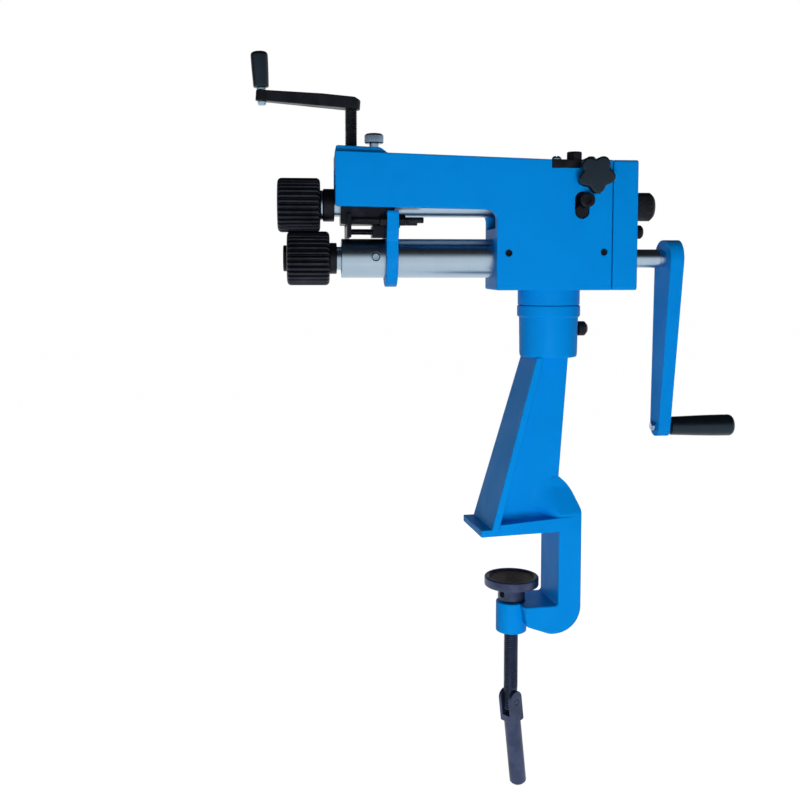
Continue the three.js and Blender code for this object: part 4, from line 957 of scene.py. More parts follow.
@dataclass
class Pedestal(Assembly):
    """Cast pedestal with its clamp frame, and the bolt that locks the swivel."""

    socket_radius: float = 28.4
    rim_radius: float = 30.3
    rim_height: float = 10.4
    socket_top: float = 217.4
    socket_length: float = 50.0
    bore_radius: float = 22.4
    flange_thickness: float = 7.0
    flange_top: Pair = (-24.0, 48.0)
    flange_foot: Pair = (-70.0, 65.0)
    web_thickness: float = 16.0
    web_back: Pair = (13.5, 5.0)
    jaw_thickness: float = 6.6
    jaw_tip_x: float = -80.5
    frame_depth: float = 52.0
    spine: Pair = (-0.8, 22.3)
    shoulder_z: float = 50.0
    mouth: float = 73.0
    boss_radius: float = 15.0
    boss_length: float = 29.7
    lock_z: float = 194.0
    shelf_slope: float = 0.0455
    shelf_height: float = 13.55

    @property
    def low(self) -> float:
        """Underside of the socket."""
        return self.socket_top - self.socket_length

    @property
    def behind(self) -> float:
        """Where the forms behind the flange begin, inside it."""
        return self.flange_foot[0] + self.flange_thickness - 2

    def build(self) -> None:
        """Builds the casting and the lock bolt."""
        shop, place = self.shop, self.layout.base()
        shop.piece("pedestal_casting", self.casting(), place, "frame", shop.finishes.paint, ["pedestal"], 38.0)
        shop.piece("swivel_lock_bolt", self.lock_bolt(), place, "lock_bolt", shop.finishes.black_oxide, ["lock_bolt"])

    def casting(self) -> Solid:
        """Socket, flange, web and clamp frame in one piece."""
        low, top, r, rim = self.low, self.socket_top, self.socket_radius, self.rim_radius
        lip = top - self.rim_height
        axis = (self.layout.swivel_x, 0.0)
        profile = [(low, r - 1.2), (low + 3, r - 0.6), (lip - 1.6, r), (lip, rim), (top - 0.3, rim)]
        socket = turned_bar(Axis.Z, profile, axis, 1.2, 96)
        bore = rod(Axis.Z, low + 4, top + 1, self.bore_radius, axis, 96)
        lock_hole = rod(Axis.X, self.bore_radius - 6, rim, 5.05, (0.0, self.lock_z))
        solid = socket.joined(self.flange(), self.web(), self.clamp_frame())
        return solid.cut(bore, lock_hole, self.screw_bore())

    def flange(self) -> Solid:
        """Leaning front plate, wider at its foot."""
        (top_x, top_width), (foot_x, foot_width) = self.flange_top, self.flange_foot
        thick, top, foot = self.flange_thickness, self.low + 0.5, self.jaw_thickness - 1
        side = [(top_x, top), (top_x + thick, top), (foot_x + thick, foot), (foot_x, foot)]
        ends = ((-top_width, self.low + 3), (top_width, self.low + 3), (foot_width, foot - 1), (-foot_width, foot - 1))
        front = [(width / 2, z) for width, z in ends]
        plate = prism(side, foot_width + 10, Axis.Y).common(prism(front, 300, Axis.X))
        return plate.softened(0.9, segments=3)

    def web(self) -> Solid:
        """Rib between the flange and the spine."""
        inner, foot = self.spine[0], self.jaw_thickness - 1
        outline = rounded([
            (self.flange_top[0] + 2, self.low + 1, 0), (self.web_back[0], self.low + 1, 0),
            (self.web_back[1], self.shoulder_z, 6), (inner, self.shoulder_z - 12, 0), (inner, foot, 0),
            (self.behind, foot, 0),
        ])
        return prism(outline, self.web_thickness, Axis.Y, edge=1.2)

    def clamp_frame(self) -> Solid:
        """Jaw plate, spine, lower jaw and screw boss."""
        half, tip, back, start = self.frame_depth / 2, self.flange_foot[1] / 2, self.spine[1] - 2, self.behind
        face = rounded([(self.jaw_tip_x, -tip, 1.5), (back, -half, 0), (back, half, 0), (self.jaw_tip_x, tip, 1.5)], 4)
        jaw = prism(face, self.jaw_thickness, Axis.Z, self.jaw_thickness / 2, 0.9)
        side = [(start, 1), (back, 1), (back, self.shelf_top(back)), (start, self.shelf_top(start))]
        shelf = prism(side, 200.0, Axis.Y).common(prism(face, 60.0, Axis.Z)).softened(0.9)
        screw_x, r = -self.layout.clamp_reach, self.boss_radius
        boss = turned_bar(Axis.Z, [(-self.mouth - self.boss_length, r), (-self.mouth, r)], (screw_x, 0.0), 1.0, 80)
        fillets = [part for sign in SIDES for part in (self.foot_fillet(sign), self.flare(sign))]
        return jaw.joined(shelf, self.lower_jaw(screw_x), boss, *fillets)

    def lower_jaw(self, screw_x: float) -> Solid:
        """Spine and lower jaw, narrower towards the screw and at the spine's shoulders."""
        inner, outer = self.spine
        half, web, top = self.frame_depth / 2, self.web_thickness / 2, self.shoulder_z
        low, reach = -self.mouth - 27.7, self.boss_radius * 0.98
        side = rounded([
            (inner, -self.mouth, 3), (inner, top - 12, 0), (-3, top, 0), (self.web_back[1], top, 2), (14.5, 41.5, 30),
            (outer, 20, 25), (outer, low + 1, 26), (inner - 8, low, 15), (screw_x + 8, low + 8.5, 0),
            (screw_x + 4, -self.mouth, 0),
        ], 12)
        plan = [
            (screw_x, -reach), (screw_x + 7, -half), (outer + 1, -half), (outer + 1, half), (screw_x + 7, half),
            (screw_x, reach),
        ]
        cheek = [(web, top + 1, 0), (half + 2, top + 1, 0), (half + 2, 13, 0), (half - 3, 21.5, 12), (web + 3, 40, 9)]
        tools = []
        for sign in SIDES:
            tools.append(prism(rounded([(sign * y, z, r) for y, z, r in cheek]), 60, Axis.X, inner + 8))
        return prism(side, self.frame_depth, Axis.Y, edge=1.6).common(prism(plan, 400, Axis.Z)).cut(*tools)

    def shelf_top(self, x: float) -> float:
        """Height of the jaw's upper side behind the flange, rising towards the spine."""
        return self.shelf_height + self.shelf_slope * x

    def foot_fillet(self, sign: float) -> Solid:
        """Cast fillet along the foot of the web, on one side of it."""
        face, r, start, end = self.web_thickness / 2, 7.0, self.behind, self.spine[0] + 1
        curve = arc((face + r, r), r, -math.pi / 2, -math.pi, 8)
        outline = [(sign * y, z) for y, z in [(face - 2, -1.5), (face + r, -1.5), *curve, (face - 2, r)]]
        slope = Matrix(((1, 0, 0, 0), (0, 1, 0, 0), (self.shelf_slope, 0, 1, self.shelf_top(0.0)), (0, 0, 0, 1)))
        return prism(outline, end - start, Axis.X, (start + end) / 2).moved(slope)

    def flare(self, sign: float) -> Solid:
        """Side of the web where it swells into the spine, longer the higher it lies."""
        near, end = self.web_thickness / 2, self.spine[0] + 1
        rows = []
        for z in steps(8.0, self.shoulder_z, 14):
            swell = 25.6 if z < 16.4 else 22.6 - (z - 21.5) * 0.65 if z < 40 else 10.6 - (z - 40) * 0.27
            start = end - 7 - 20 * min(1.0, (z - 8) / 14)
            row = []
            for share in steps(0.0, 1.0, 10):
                rise = share * share * (3 - 2 * share)
                y = near - 0.3 + (swell - near + 0.3) * rise
                row.append((start + (end - start) * share, sign * y, z))
            rows.append([*row, *[(x, sign * (near - 3), z) for x in (end, start)]])
        return Solid.from_bmesh(loft(rows, flat_ends=True))

    def screw_bore(self) -> Solid:
        """Drill for the clamp screw, with a countersink at both ends of the boss."""
        low, high, bore = -self.mouth - self.boss_length, -self.mouth, 7.4
        wide = bore + 2.6
        profile = [(low - 2, 0.0), (low - 2, wide), (low + 0.9, bore), (high - 0.9, bore), (high + 2, wide)]
        return spun([*profile, (high + 2, 0.0)], Axis.Z, (-self.layout.clamp_reach, 0.0))

    def lock_bolt(self) -> Solid:
        """Cap screw in the side of the socket."""
        face = self.socket_radius + 0.6
        head = knurled(24, 7.1, 0.3, [(face, 0.6), (face + 0.6, 0.0), (face + 7.5, 0.0), (face + 10, 2.6)])
        shank = rod(Axis.X, self.bore_radius - 0.1, face + 1, 4.75)
        socket = prism(hexagon(6.0), 7.0, Axis.X, face + 10)
        return head.joined(shank).cut(socket).shifted(self.layout.swivel_x, 0.0, self.lock_z)


@dataclass
class ClampScrew(Assembly):
    """Pad, threaded screw and folding handle under the lower jaw."""

    screw_radius: float = 7.0
    pitch: float = 2.0
    pad_radius: float = 26.5
    pad_thickness: float = 9.0
    pad_top: float = -48.3
    hub_radius: float = 13.2
    hub_length: float = 14.0
    grub_turn: float = -62.0
    rod_radius: float = 8.2
    length: float = 89.0
    half_width: float = 8.2
    cheek: float = 3.4
    clevis_top: float = 11.0
    clevis_length: float = 32.0

    def build(self) -> None:
        """Builds the four pieces of the clamp screw."""
        shop, layout, finishes = self.shop, self.layout, self.shop.finishes
        blued = finishes.blued
        shop.piece("clamp_pad_disc", self.pad(), layout.clamp(), "clamp_pad", blued, ["clamp_pad"])
        shop.piece("clamp_pad_face", self.pad_insert(), layout.clamp(), "clamp_pad", finishes.pad_face)
        black = finishes.black_oxide
        shop.piece("pad_grub_screw", self.grub(), layout.clamp(), "clamp_pad", black, ["pad_set_screw"])
        shop.piece("clamp_screw_thread", self.screw(), layout.handle_upright(), "clamp_screw", blued, ["clamp_screw"])
        shop.piece("folding_handle", self.handle(), layout.handle(), "clamp_handle", blued, ["clamp_handle"])
        shop.piece("handle_cross_pin", self.pin(), layout.handle(), "clamp_handle", blued, ["handle_pin"])

    def pad(self) -> Solid:
        """Pressed pad with a raised rim and a hub below."""
        top, r = self.pad_top, self.pad_radius
        floor = top - self.pad_thickness
        foot = floor - self.hub_length
        hub = [(foot, self.hub_radius), (floor, self.hub_radius)]
        profile = [*hub, (floor, r), (top, r), (top, r - 3.4), (top - 1.4, r - 4.4)]
        body = turned_bar(Axis.Z, profile, ease=1.3, sides=120)
        bore = rod(Axis.Z, foot - 1, floor + 3, self.screw_radius + 0.4)
        hole = rod(Axis.Y, -self.hub_radius - 1, -self.screw_radius, 3.2, (0.0, floor - self.hub_length / 2))
        return body.cut(bore, hole.turned(self.grub_turn, Axis.Z))

    def pad_insert(self) -> Solid:
        """Recessed working face of the pad, with faint turning rings."""
        top, radius = self.pad_top - 1.2, self.pad_radius - 4.6
        profile: list[Pair] = [(top - 0.8, 0.0), (top - 0.8, radius)]
        while radius > 2.0:
            profile += [(top, radius), (top - 0.12, radius - 0.7)]
            radius -= 1.4
        return spun([*profile, (top, 0.0)], Axis.Z, sides=96)

    def grub(self) -> Solid:
        """Set screw in the hub with a hexagon socket."""
        z, start = self.pad_top - self.pad_thickness - self.hub_length / 2, -self.hub_radius + 1.6
        screw = rod(Axis.Y, start, -self.screw_radius - 0.4, 3.05, (0.0, z))
        socket = prism(hexagon(3.0), 3.0, Axis.Y, start).shifted(0.0, 0.0, z)
        return screw.cut(socket).turned(self.grub_turn, Axis.Z)

    def screw(self) -> Solid:
        """Screw with its thread and the flattened end that the handle straddles."""
        pin_z, reach = self.layout.handle_pin_z, self.screw_radius + 2
        body = thread(pin_z - 8, self.pad_top - self.pad_thickness + 2.7, self.screw_radius, self.pitch)
        inner = self.half_width - self.cheek - 0.3
        tools = [rod(Axis.Y, -reach, reach, M6_HOLE, (0.0, pin_z))]
        for sign in SIDES:
            near, far = sorted((sign * inner, sign * reach))
            tools.append(block((-reach, near, pin_z - 20), (reach, far, pin_z + 13)))
        return body.cut(*tools)

    def handle(self) -> Solid:
        """Forked end with a round bar below it."""
        w, top, r, end = self.half_width, self.clevis_top, self.rod_radius, -self.length
        floor, gap = top - self.clevis_length, w - self.cheek
        outline = rounded([(-w, top, w * 0.95), (-w, floor, 2), (w, floor, 2), (w, top, w * 0.95)])
        fork = prism(outline, 2 * w, Axis.Y, edge=0.7)
        slot = block((-w - 1, -gap, floor + 8), (w + 1, gap, top + 1))
        profile = [(end, r - 2.4), (end + 2.4, r), (floor + 1, r), (floor + 3, r - 2)]
        bar = turned_bar(Axis.Z, profile, ease=1.6, sides=72)
        return fork.joined(bar).cut(slot, rod(Axis.Y, -w - 1, w + 1, M6_HOLE))

    def pin(self) -> Solid:
        """Cross pin with peened ends."""
        w = self.half_width
        return turned_bar(Axis.Y, [(-w, 2.4), (-w + 0.6, 3.0), (w - 0.6, 3.0), (w, 2.4)], ease=0.4, sides=32)


# Head


@dataclass
class HeadCasting(Assembly):
    """Arm and body with the gear cover, bridge plate, bolts and fixed tube."""

    depth: float = 62.0
    throat_x: float = -61.5
    arm_length: float = 150.0
    floor: float = -30.0
    top: float = 92.0
    arm_top: float = 98.0
    arm_under: float = 47.7
    seam_x: float = 48.5
    cover_length: float = 24.5
    cover_bolt_y: float = 20.0
    cover_bolt_z: float = 25.0
    wall: float = 8.0
    boss_top: float = 104.0
    tunnel_floor: float = 28.0
    window_radius: float = 7.0
    window_rise: float = 11.4
    bridge: Pair = (-10.0, 34.0)
    star: Pair = (28.0, 77.0)
    tube_radius: float = 18.5
    tube_bore: float = 13.0
    tube_start: float = -205.5
    tube_end: float = -6.5
    tube_grub_place: Pair = (-173.5, 1.5)
    grub_places: tuple[Pair, ...] = ((-50.1, 4.8), (40.7, 5.8))

    @property
    def half(self) -> float:
        """Half the width of the head."""
        return self.depth / 2

    @property
    def front_x(self) -> float:
        """Front face of the arm."""
        return self.throat_x - self.arm_length

    @property
    def ceiling(self) -> float:
        """Upper side of the channel under the head's top."""
        return self.top - self.wall

    @property
    def cover_face(self) -> float:
        """Rear face of the gear cover."""
        return self.seam_x + self.cover_length

    def build(self) -> None:
        """Builds every fixed piece of the head."""
        shop, finishes, place = self.shop, self.shop.finishes, self.layout.head()
        black, fixed = finishes.black_oxide, "head"
        shop.piece("head_body", self.casting(), place, fixed, finishes.paint, ["head_casting"], 38.0)
        shop.piece("gear_cover", self.cover(), place, fixed, finishes.paint, ["rear_cover"], 38.0)
        for side, y in (("near", -self.cover_bolt_y), ("far", self.cover_bolt_y)):
            shop.piece(f"cover_button_bolt_{side}", self.cover_bolt(y), place, fixed, black, [f"cover_bolt_{side}"])
        shop.piece("top_bridge_plate", self.bridge_plate(), place, fixed, black, ["bridge_plate"])
        shop.piece("bridge_plate_screws", self.bridge_screws(), place, fixed, finishes.zinc)
        shop.piece("rear_hexagon_bolt", self.hexagon_bolt(), place, fixed, black, ["rear_adjust_bolt"])
        shop.piece("window_cap_screw", self.keeper_screw(), place, "upper_carrier", black, ["keeper_screw"])
        names = (("body_grub_front", "tube_lock_screw"), ("body_grub_rear", "bush_lock_screw"))
        for (name, node), spot in zip(names, self.grub_places):
            shop.piece(name, grub_screw(2.0 - self.half, -19.2, spot, 4.0), place, fixed, black, [node])
        shop.piece("lower_shaft_tube", self.tube(), place, fixed, finishes.ground, ["lower_tube"])
        grub = grub_screw(0.8 - self.tube_radius, -12.0, self.tube_grub_place, 3.0)
        shop.piece("tube_grub_screw", grub, place, fixed, finishes.zinc, ["tube_set_screw"])
        shop.piece("clamping_star_knob", self.star_knob(), place, "star_knob", finishes.plastic, ["star_knob"])
        shop.dress(finishes.ground_upright, "lift_spring")
        shop.dress(finishes.bronze, "lower_front_bush", "lower_rear_bush")

    def casting(self) -> Solid:
        """Arm, body, boss and neck, cut for everything that they carry."""
        front, throat, floor, top, arm_top = self.front_x, self.throat_x, self.floor, self.top, self.arm_top
        side = rounded([
            (front, self.arm_under, 4), (throat, self.arm_under - 2.5, 10), (throat, floor, 2), (self.seam_x, floor, 0),
            (self.seam_x, top, 0), (-11.0, top, 0), (front, arm_top, 1.5),
        ], 10)
        start, end = front + 0.8, front + 42
        boss = rounded([
            (start, top, 0), (end + 9, top, 0), (end + 7.5, arm_top - 1, 4), (end, self.boss_top - 1.6, 6),
            (start, self.boss_top, 2),
        ])
        profile = [(-90.6, 21.4), (-88.6, 22.0), (-44.6, 22.0), (-44.6, 29.8), (floor + 2, 29.8)]
        neck = turned_bar(Axis.Z, profile, (self.layout.swivel_x, 0.0), 1.0, 96)
        arm = prism(side, self.depth, Axis.Y, edge=1.3).joined(prism(boss, 46.0, Axis.Y, edge=2.0), neck)
        return arm.cut(*self.openings())

    def openings(self) -> list[Solid]:
        """Channel, tunnel, bores and windows of the casting."""
        inner, out, ceiling, seam = self.half - self.wall, self.half + 1, self.ceiling, self.seam_x + 1
        boss, thumb = self.boss_top + 1, (self.layout.thumb_x, 0.0)
        tools = [
            block((self.front_x - 1, -inner, -50), (self.throat_x - self.wall, inner, ceiling)),
            block((self.front_x, -inner, self.tunnel_floor), (seam, inner, ceiling)),
            block((self.bridge[0], -out, ceiling), (self.bridge[1], out, self.top + 1)),
            rod(Axis.X, self.throat_x - 20, self.tube_end, self.tube_radius + 0.15, sides=96),
            rod(Axis.X, self.tube_end - 1, seam, self.tube_bore),
            rod(Axis.Z, ceiling - 1, boss, 6.2, (self.layout.press_x, 0.0)),
            rod(Axis.Z, ceiling - 1, boss, 5.6, thumb),
            rod(Axis.Z, boss - 15, boss, 7.6, thumb),
            rod(Axis.Y, -out, -inner + 1, 4.2, self.star),
        ]
        tools += [rod(Axis.Y, -out, -14.0, 3.35, spot) for spot in self.grub_places]
        (x, z), r = self.layout.pivot, self.window_radius
        slot = arc((x, z), r, math.pi, 2 * math.pi, 24) + arc((x, z + self.window_rise), r, 0.0, math.pi, 24)
        return [*tools, *[prism(slot, 11.0, Axis.Y, sign * (self.half - 3.5)) for sign in SIDES]]

    def cover(self) -> Solid:
        """Hollow gear cover behind the seam."""
        start, end, half, floor, top = self.seam_x + 0.6, self.cover_face, self.half, self.floor, self.top
        outline = rounded([(-half, floor, 3), (half, floor, 3), (half, top, 3), (-half, top, 3)], 6)
        shell = prism(outline, end - start, Axis.X, (start + end) / 2, 1.2)
        cavity = block((start - 1, -half + 2.6, floor + 2.6), (end - 4, half - 2.6, self.ceiling))
        holes = [(9.4, 0.0, 0.0), (10.9, 0.0, self.upper_z)]
        holes += [(M6_HOLE, sign * self.cover_bolt_y, self.cover_bolt_z) for sign in SIDES]
        return shell.cut(cavity, *[rod(Axis.X, end - 5, end + 1, r, (y, z)) for r, y, z in holes])

    def cover_bolt(self, y: float) -> Solid:
        """Button head bolt with its washer."""
        face, spot = self.cover_face, (y, self.cover_bolt_z)
        washer = turned_bar(Axis.X, [(face, 8.0), (face + 1.6, 8.0)], spot, 0.4)
        head = turned_bar(Axis.X, [(face + 1, 6.5), (face + 5.6, 6.5), (face + 7.6, 4.6)], spot, 1.6)
        shank = rod(Axis.X, self.seam_x + 0.15, face + 1.5, 3.0, spot)
        return washer.joined(head, shank).cut(prism(hexagon(4.0), 5.0, Axis.X, face + 7.6).shifted(0.0, *spot))

    def bridge_plate(self) -> Solid:
        """Dark plate let into the top of the body."""
        (start, end), half, floor = self.bridge, self.half, self.ceiling
        slab = block((start + 0.15, -half, floor), (end - 0.15, half, floor + 8), 0.8)
        return slab.cut(rod(Axis.Z, floor - 1, floor + 9, 4.15, (self.layout.pivot[0], 0.0)))

    def bridge_screws(self) -> Solid:
        """Four small round head screws of the bridge plate."""
        face, heads = self.top, []
        for x in (self.bridge[0] + 5.5, self.bridge[1] - 5.5):
            for y in (-self.half + 5.5, self.half - 5.5):
                head = turned_bar(Axis.Z, [(face - 0.4, 4.6), (face + 1.4, 4.6), (face + 3.3, 2.6)], (x, y), 1.6, 40)
                slot = block((x - 5, y - 0.5, face + 2.2), (x + 5, y + 0.5, face + 4))
                heads.append(head.cut(slot.moved(about((x, y, 0.0), 24.0 * x))))
        return heads[0].joined(*heads[1:])

    def hexagon_bolt(self) -> Solid:
        """Hexagon bolt through the bridge plate."""
        washer = turned_bar(Axis.Z, [(0.0, 7.2), (0.5, 7.2)], ease=0.2)
        bolt = hex_head(14.0, 10.2, 0.3).joined(washer, rod(Axis.Z, -9.7, 1.0, 4.0))
        return bolt.shifted(self.layout.pivot[0], 0.0, self.top)

    def keeper_screw(self) -> Solid:
        """Cap screw with a knurled head beside the window."""
        head = knurled(30, 7.0, 0.35, [(0.0, 0.7), (0.7, 0.0), (7.2, 0.0), (8.0, 0.9)])
        screw = head.joined(rod(Axis.X, -16.8, 1.0, 3.4)).cut(prism(hexagon(6.2), 6.0, Axis.X, 8.0))
        return screw.turned(-90.0, Axis.Z).shifted(self.layout.keeper[0], -self.half - 0.3, self.layout.keeper[1])

    def tube(self) -> Solid:
        """Fixed tube round the lower shaft."""
        start, end, r = self.tube_start, self.tube_end, self.tube_radius
        body = turned_bar(Axis.X, [(start, r), (end - 0.3, r)], ease=0.9, sides=120)
        bores = [rod(Axis.X, start - 1, end + 1, self.tube_bore), rod(Axis.X, start - 1, start + 20, 14.15)]
        return body.cut(*bores, rod(Axis.Y, -r - 1, -11.0, 4.2, self.tube_grub_place))

    def star_knob(self) -> Solid:
        """Five lobe knob with its hub and stud."""
        radius, start, end, low, high = 18.0, 9.0, 19.0, 1.4, 2.2
        rise = [(start + low * (1 - math.cos(a)), low * (1 - math.sin(a))) for a in (0.0, 0.5, 1.0, math.pi / 2)]
        fall = [(end - high * (1 - math.sin(a)), high * (1 - math.cos(a))) for a in (0.0, 0.4, 0.8, 1.2, 1.5)]
        star = star_bar(lobes(5, radius, 13.5, -0.22), [(x, inset, radius) for x, inset in rise + fall])
        hub = turned_bar(Axis.X, [(1.0, 7.5), (10.0, 8.2)], ease=0.8)
        knob = star.joined(hub, rod(Axis.X, -9.2, 2.0, 3.9)).turned(-90.0, Axis.Z)
        return knob.shifted(self.star[0], -self.half, self.star[1])


def about(point: Point, degrees: float) -> Matrix:
    """Turn about an upright axis through a point."""
    shift = Matrix.Translation(point)
    return shift @ turn(degrees, Axis.Z) @ shift.inverted()


# Spindles


@dataclass
class Rolls(Assembly):
    """Crimping rolls with their shafts, collars and nuts."""

    radius: float = 25.5
    width: float = 40.0
    teeth: int = 30
    crest: float = 1.7
    depth: float = 2.7
    end_round: float = 4.0
    lower_x: float = -236.5
    upper_x: float = -245.0
    seat: float = 10.0
    shaft_radius: float = 11.0
    gear_x: float = 45.0
    gear_seat: float = 9.0
    crank_seat: float = 8.0
    shaft_end: float = 117.7

    def build(self) -> None:
        """Builds what turns in front of the arm and the two shafts."""
        shop, finishes, place, up_z = self.shop, self.shop.finishes, self.layout.head(), self.upper_z
        low, up = "lower_spindle", "upper_spindle"
        steel, black, bright = finishes.roll_steel, finishes.black_oxide, finishes.ground
        lower = self.roll(self.lower_x, math.pi / 2 + math.pi / self.teeth, 0.0)
        upper = self.roll(self.upper_x, -math.pi / 2, 5.0).shifted(0.0, 0.0, up_z)
        shop.piece("lower_crimping_roll", lower, place, low, steel, ["lower_roll"], 50.0)
        shop.piece("upper_crimping_roll", upper, place, up, steel, ["upper_roll"], 50.0)
        shop.piece("lower_shaft_bar", self.lower_shaft(), place, low, bright, ["lower_shaft"])
        shop.piece("upper_shaft_bar", self.upper_shaft(), place, up, bright, ["upper_shaft"])
        nut = self.nut(self.lower_x - self.width / 2 - 3.5, 0.0)
        shop.piece("lower_end_nut", nut, place, low, black, ["lower_roll_nut"])
        nut = self.nut(self.upper_x - self.width / 2 + 1.5, up_z)
        shop.piece("upper_end_nut", nut, place, up, black, ["upper_roll_nut"])
        edge = self.lower_x + self.width / 2
        shop.piece("lower_roll_collar", self.ring(edge, edge + 6.8, 14.7, 0.0), place, low, black, ["lower_collar"])
        edge = self.upper_x + self.width / 2
        shop.piece("upper_roll_spacer", self.ring(edge, edge + 2.6, 14.0, up_z), place, up, bright, ["upper_spacer"])
        collar = self.ring(edge + 2.6, edge + 13.1, 15.4, up_z)
        shop.piece("upper_roll_collar", collar, place, up, black, ["upper_collar"])
        shop.dress(bright, "lower_gear", "upper_gear", "axial_plug")

    def section(self, phase: float) -> list[Pair]:
        """Section of a roll: round crests with narrow grooves between them.

        Args:
            phase: Angle of the first crest.

        Returns:
            Polar points of the section.
        """
        step = 2 * math.pi / self.teeth
        centre = self.radius - self.crest
        polar: list[Pair] = []
        for tooth in range(self.teeth):
            middle = tooth * step + phase
            for degrees in range(-78, 79, 26):
                around = math.radians(degrees)
                along, across = centre + self.crest * math.cos(around), self.crest * math.sin(around)
                polar.append((middle + math.atan2(across, along), math.hypot(along, across)))
            for share, rise in ((0.42, 0.25), (0.5, 0.0), (0.58, 0.25)):
                polar.append((middle + step * share, self.radius - self.depth + rise))
        return polar

    def roll(self, middle: float, phase: float, recess: float) -> Solid:
        """One toothed roll with rounded ends and its bore.

        Args:
            middle: Middle of its width.
            phase: Angle of the first crest.
            recess: Depth of the pocket for its nut, or 0.

        Returns:
            The roll.
        """
        x0, x1, r = middle - self.width / 2, middle + self.width / 2, self.end_round
        turns = (0.0, 0.45, 0.8, 1.1, 1.35, math.pi / 2)
        ends = [(r * (1 - math.cos(a)), self.radius - r * (1 - math.sin(a))) for a in turns]
        stations = [(x0 + inset, 0.0, limit) for inset, limit in ends]
        stations += [(x1 - inset, 0.0, limit) for inset, limit in reversed(ends)]
        tools = [rod(Axis.X, x0 - 1, x1 + 1, self.seat + 0.15)]
        if recess > 0:
            tools.append(rod(Axis.X, x0 - 1, x0 + recess, 14.0))
        else:
            tools.append(spun([(x0 - 1, 0.0), (x0 - 1, 20.0), (x0, 20.0), (x0 + 0.8, 19.2), (x0 + 0.8, 0.0)], Axis.X))
        return star_bar(self.section(phase), stations).cut(*tools)

    def shaft(self, tip: float, roll_x: float, tail: Sequence[Pair], z: float) -> Solid:
        """Stepped shaft from its nut to behind the gear.

        Args:
            tip: Its front end.
            roll_x: Middle of the roll.
            tail: Its profile behind the bearing shoulder.
            z: Height over the lower shaft.

        Returns:
            The shaft.
        """
        x0, x1 = roll_x - self.width / 2, roll_x + self.width / 2
        shoulder = x0 if tip < x0 else x0 + 5
        front = [(tip, 6.0), (shoulder, 6.0), (shoulder, self.seat), (x1, self.seat), (x1, self.shaft_radius)]
        gear = [(self.gear_x, self.shaft_radius), (self.gear_x, self.gear_seat)]
        return turned_bar(Axis.X, [*front, *gear, *tail], (0.0, z), 0.5, 80)

    def lower_shaft(self) -> Solid:
        """Lower shaft from the roll nut to the crank."""
        tail = [(104.0, self.gear_seat), (104.0, self.crank_seat), (self.shaft_end, self.crank_seat)]
        bar = self.shaft(self.lower_x - self.width / 2 - 3.5, self.lower_x, tail, 0.0)
        return bar.cut(rod(Axis.X, 101.7, self.shaft_end + 1, M6_HOLE))

    def upper_shaft(self) -> Solid:
        """Upper shaft from its recessed nut to the gear."""
        return self.shaft(self.upper_x - self.width / 2 + 0.5, self.upper_x, [(64.3, self.gear_seat)], self.upper_z)

    def nut(self, start: float, z: float) -> Solid:
        """Round nut with two spanner flats."""
        body = turned_bar(Axis.X, [(start, 12.3), (start + 3.5, 12.3)], (0.0, z), 0.8)
        tools = [rod(Axis.X, start - 1, start + 4.5, 6.15, (0.0, z))]
        for sign in SIDES:
            low, high = sorted((sign * 11.0, sign * 14.0))
            tools.append(block((start - 1, low, z - 14), (start + 2.2, high, z + 14)))
        return body.cut(*tools)

    def ring(self, start: float, end: float, radius: float, z: float) -> Solid:
        """Collar or spacer on a shaft."""
        body = turned_bar(Axis.X, [(start, radius), (end, radius)], (0.0, z), 0.8, 80)
        return body.cut(rod(Axis.X, start - 1, end + 1, self.shaft_radius + 0.15, (0.0, z)))


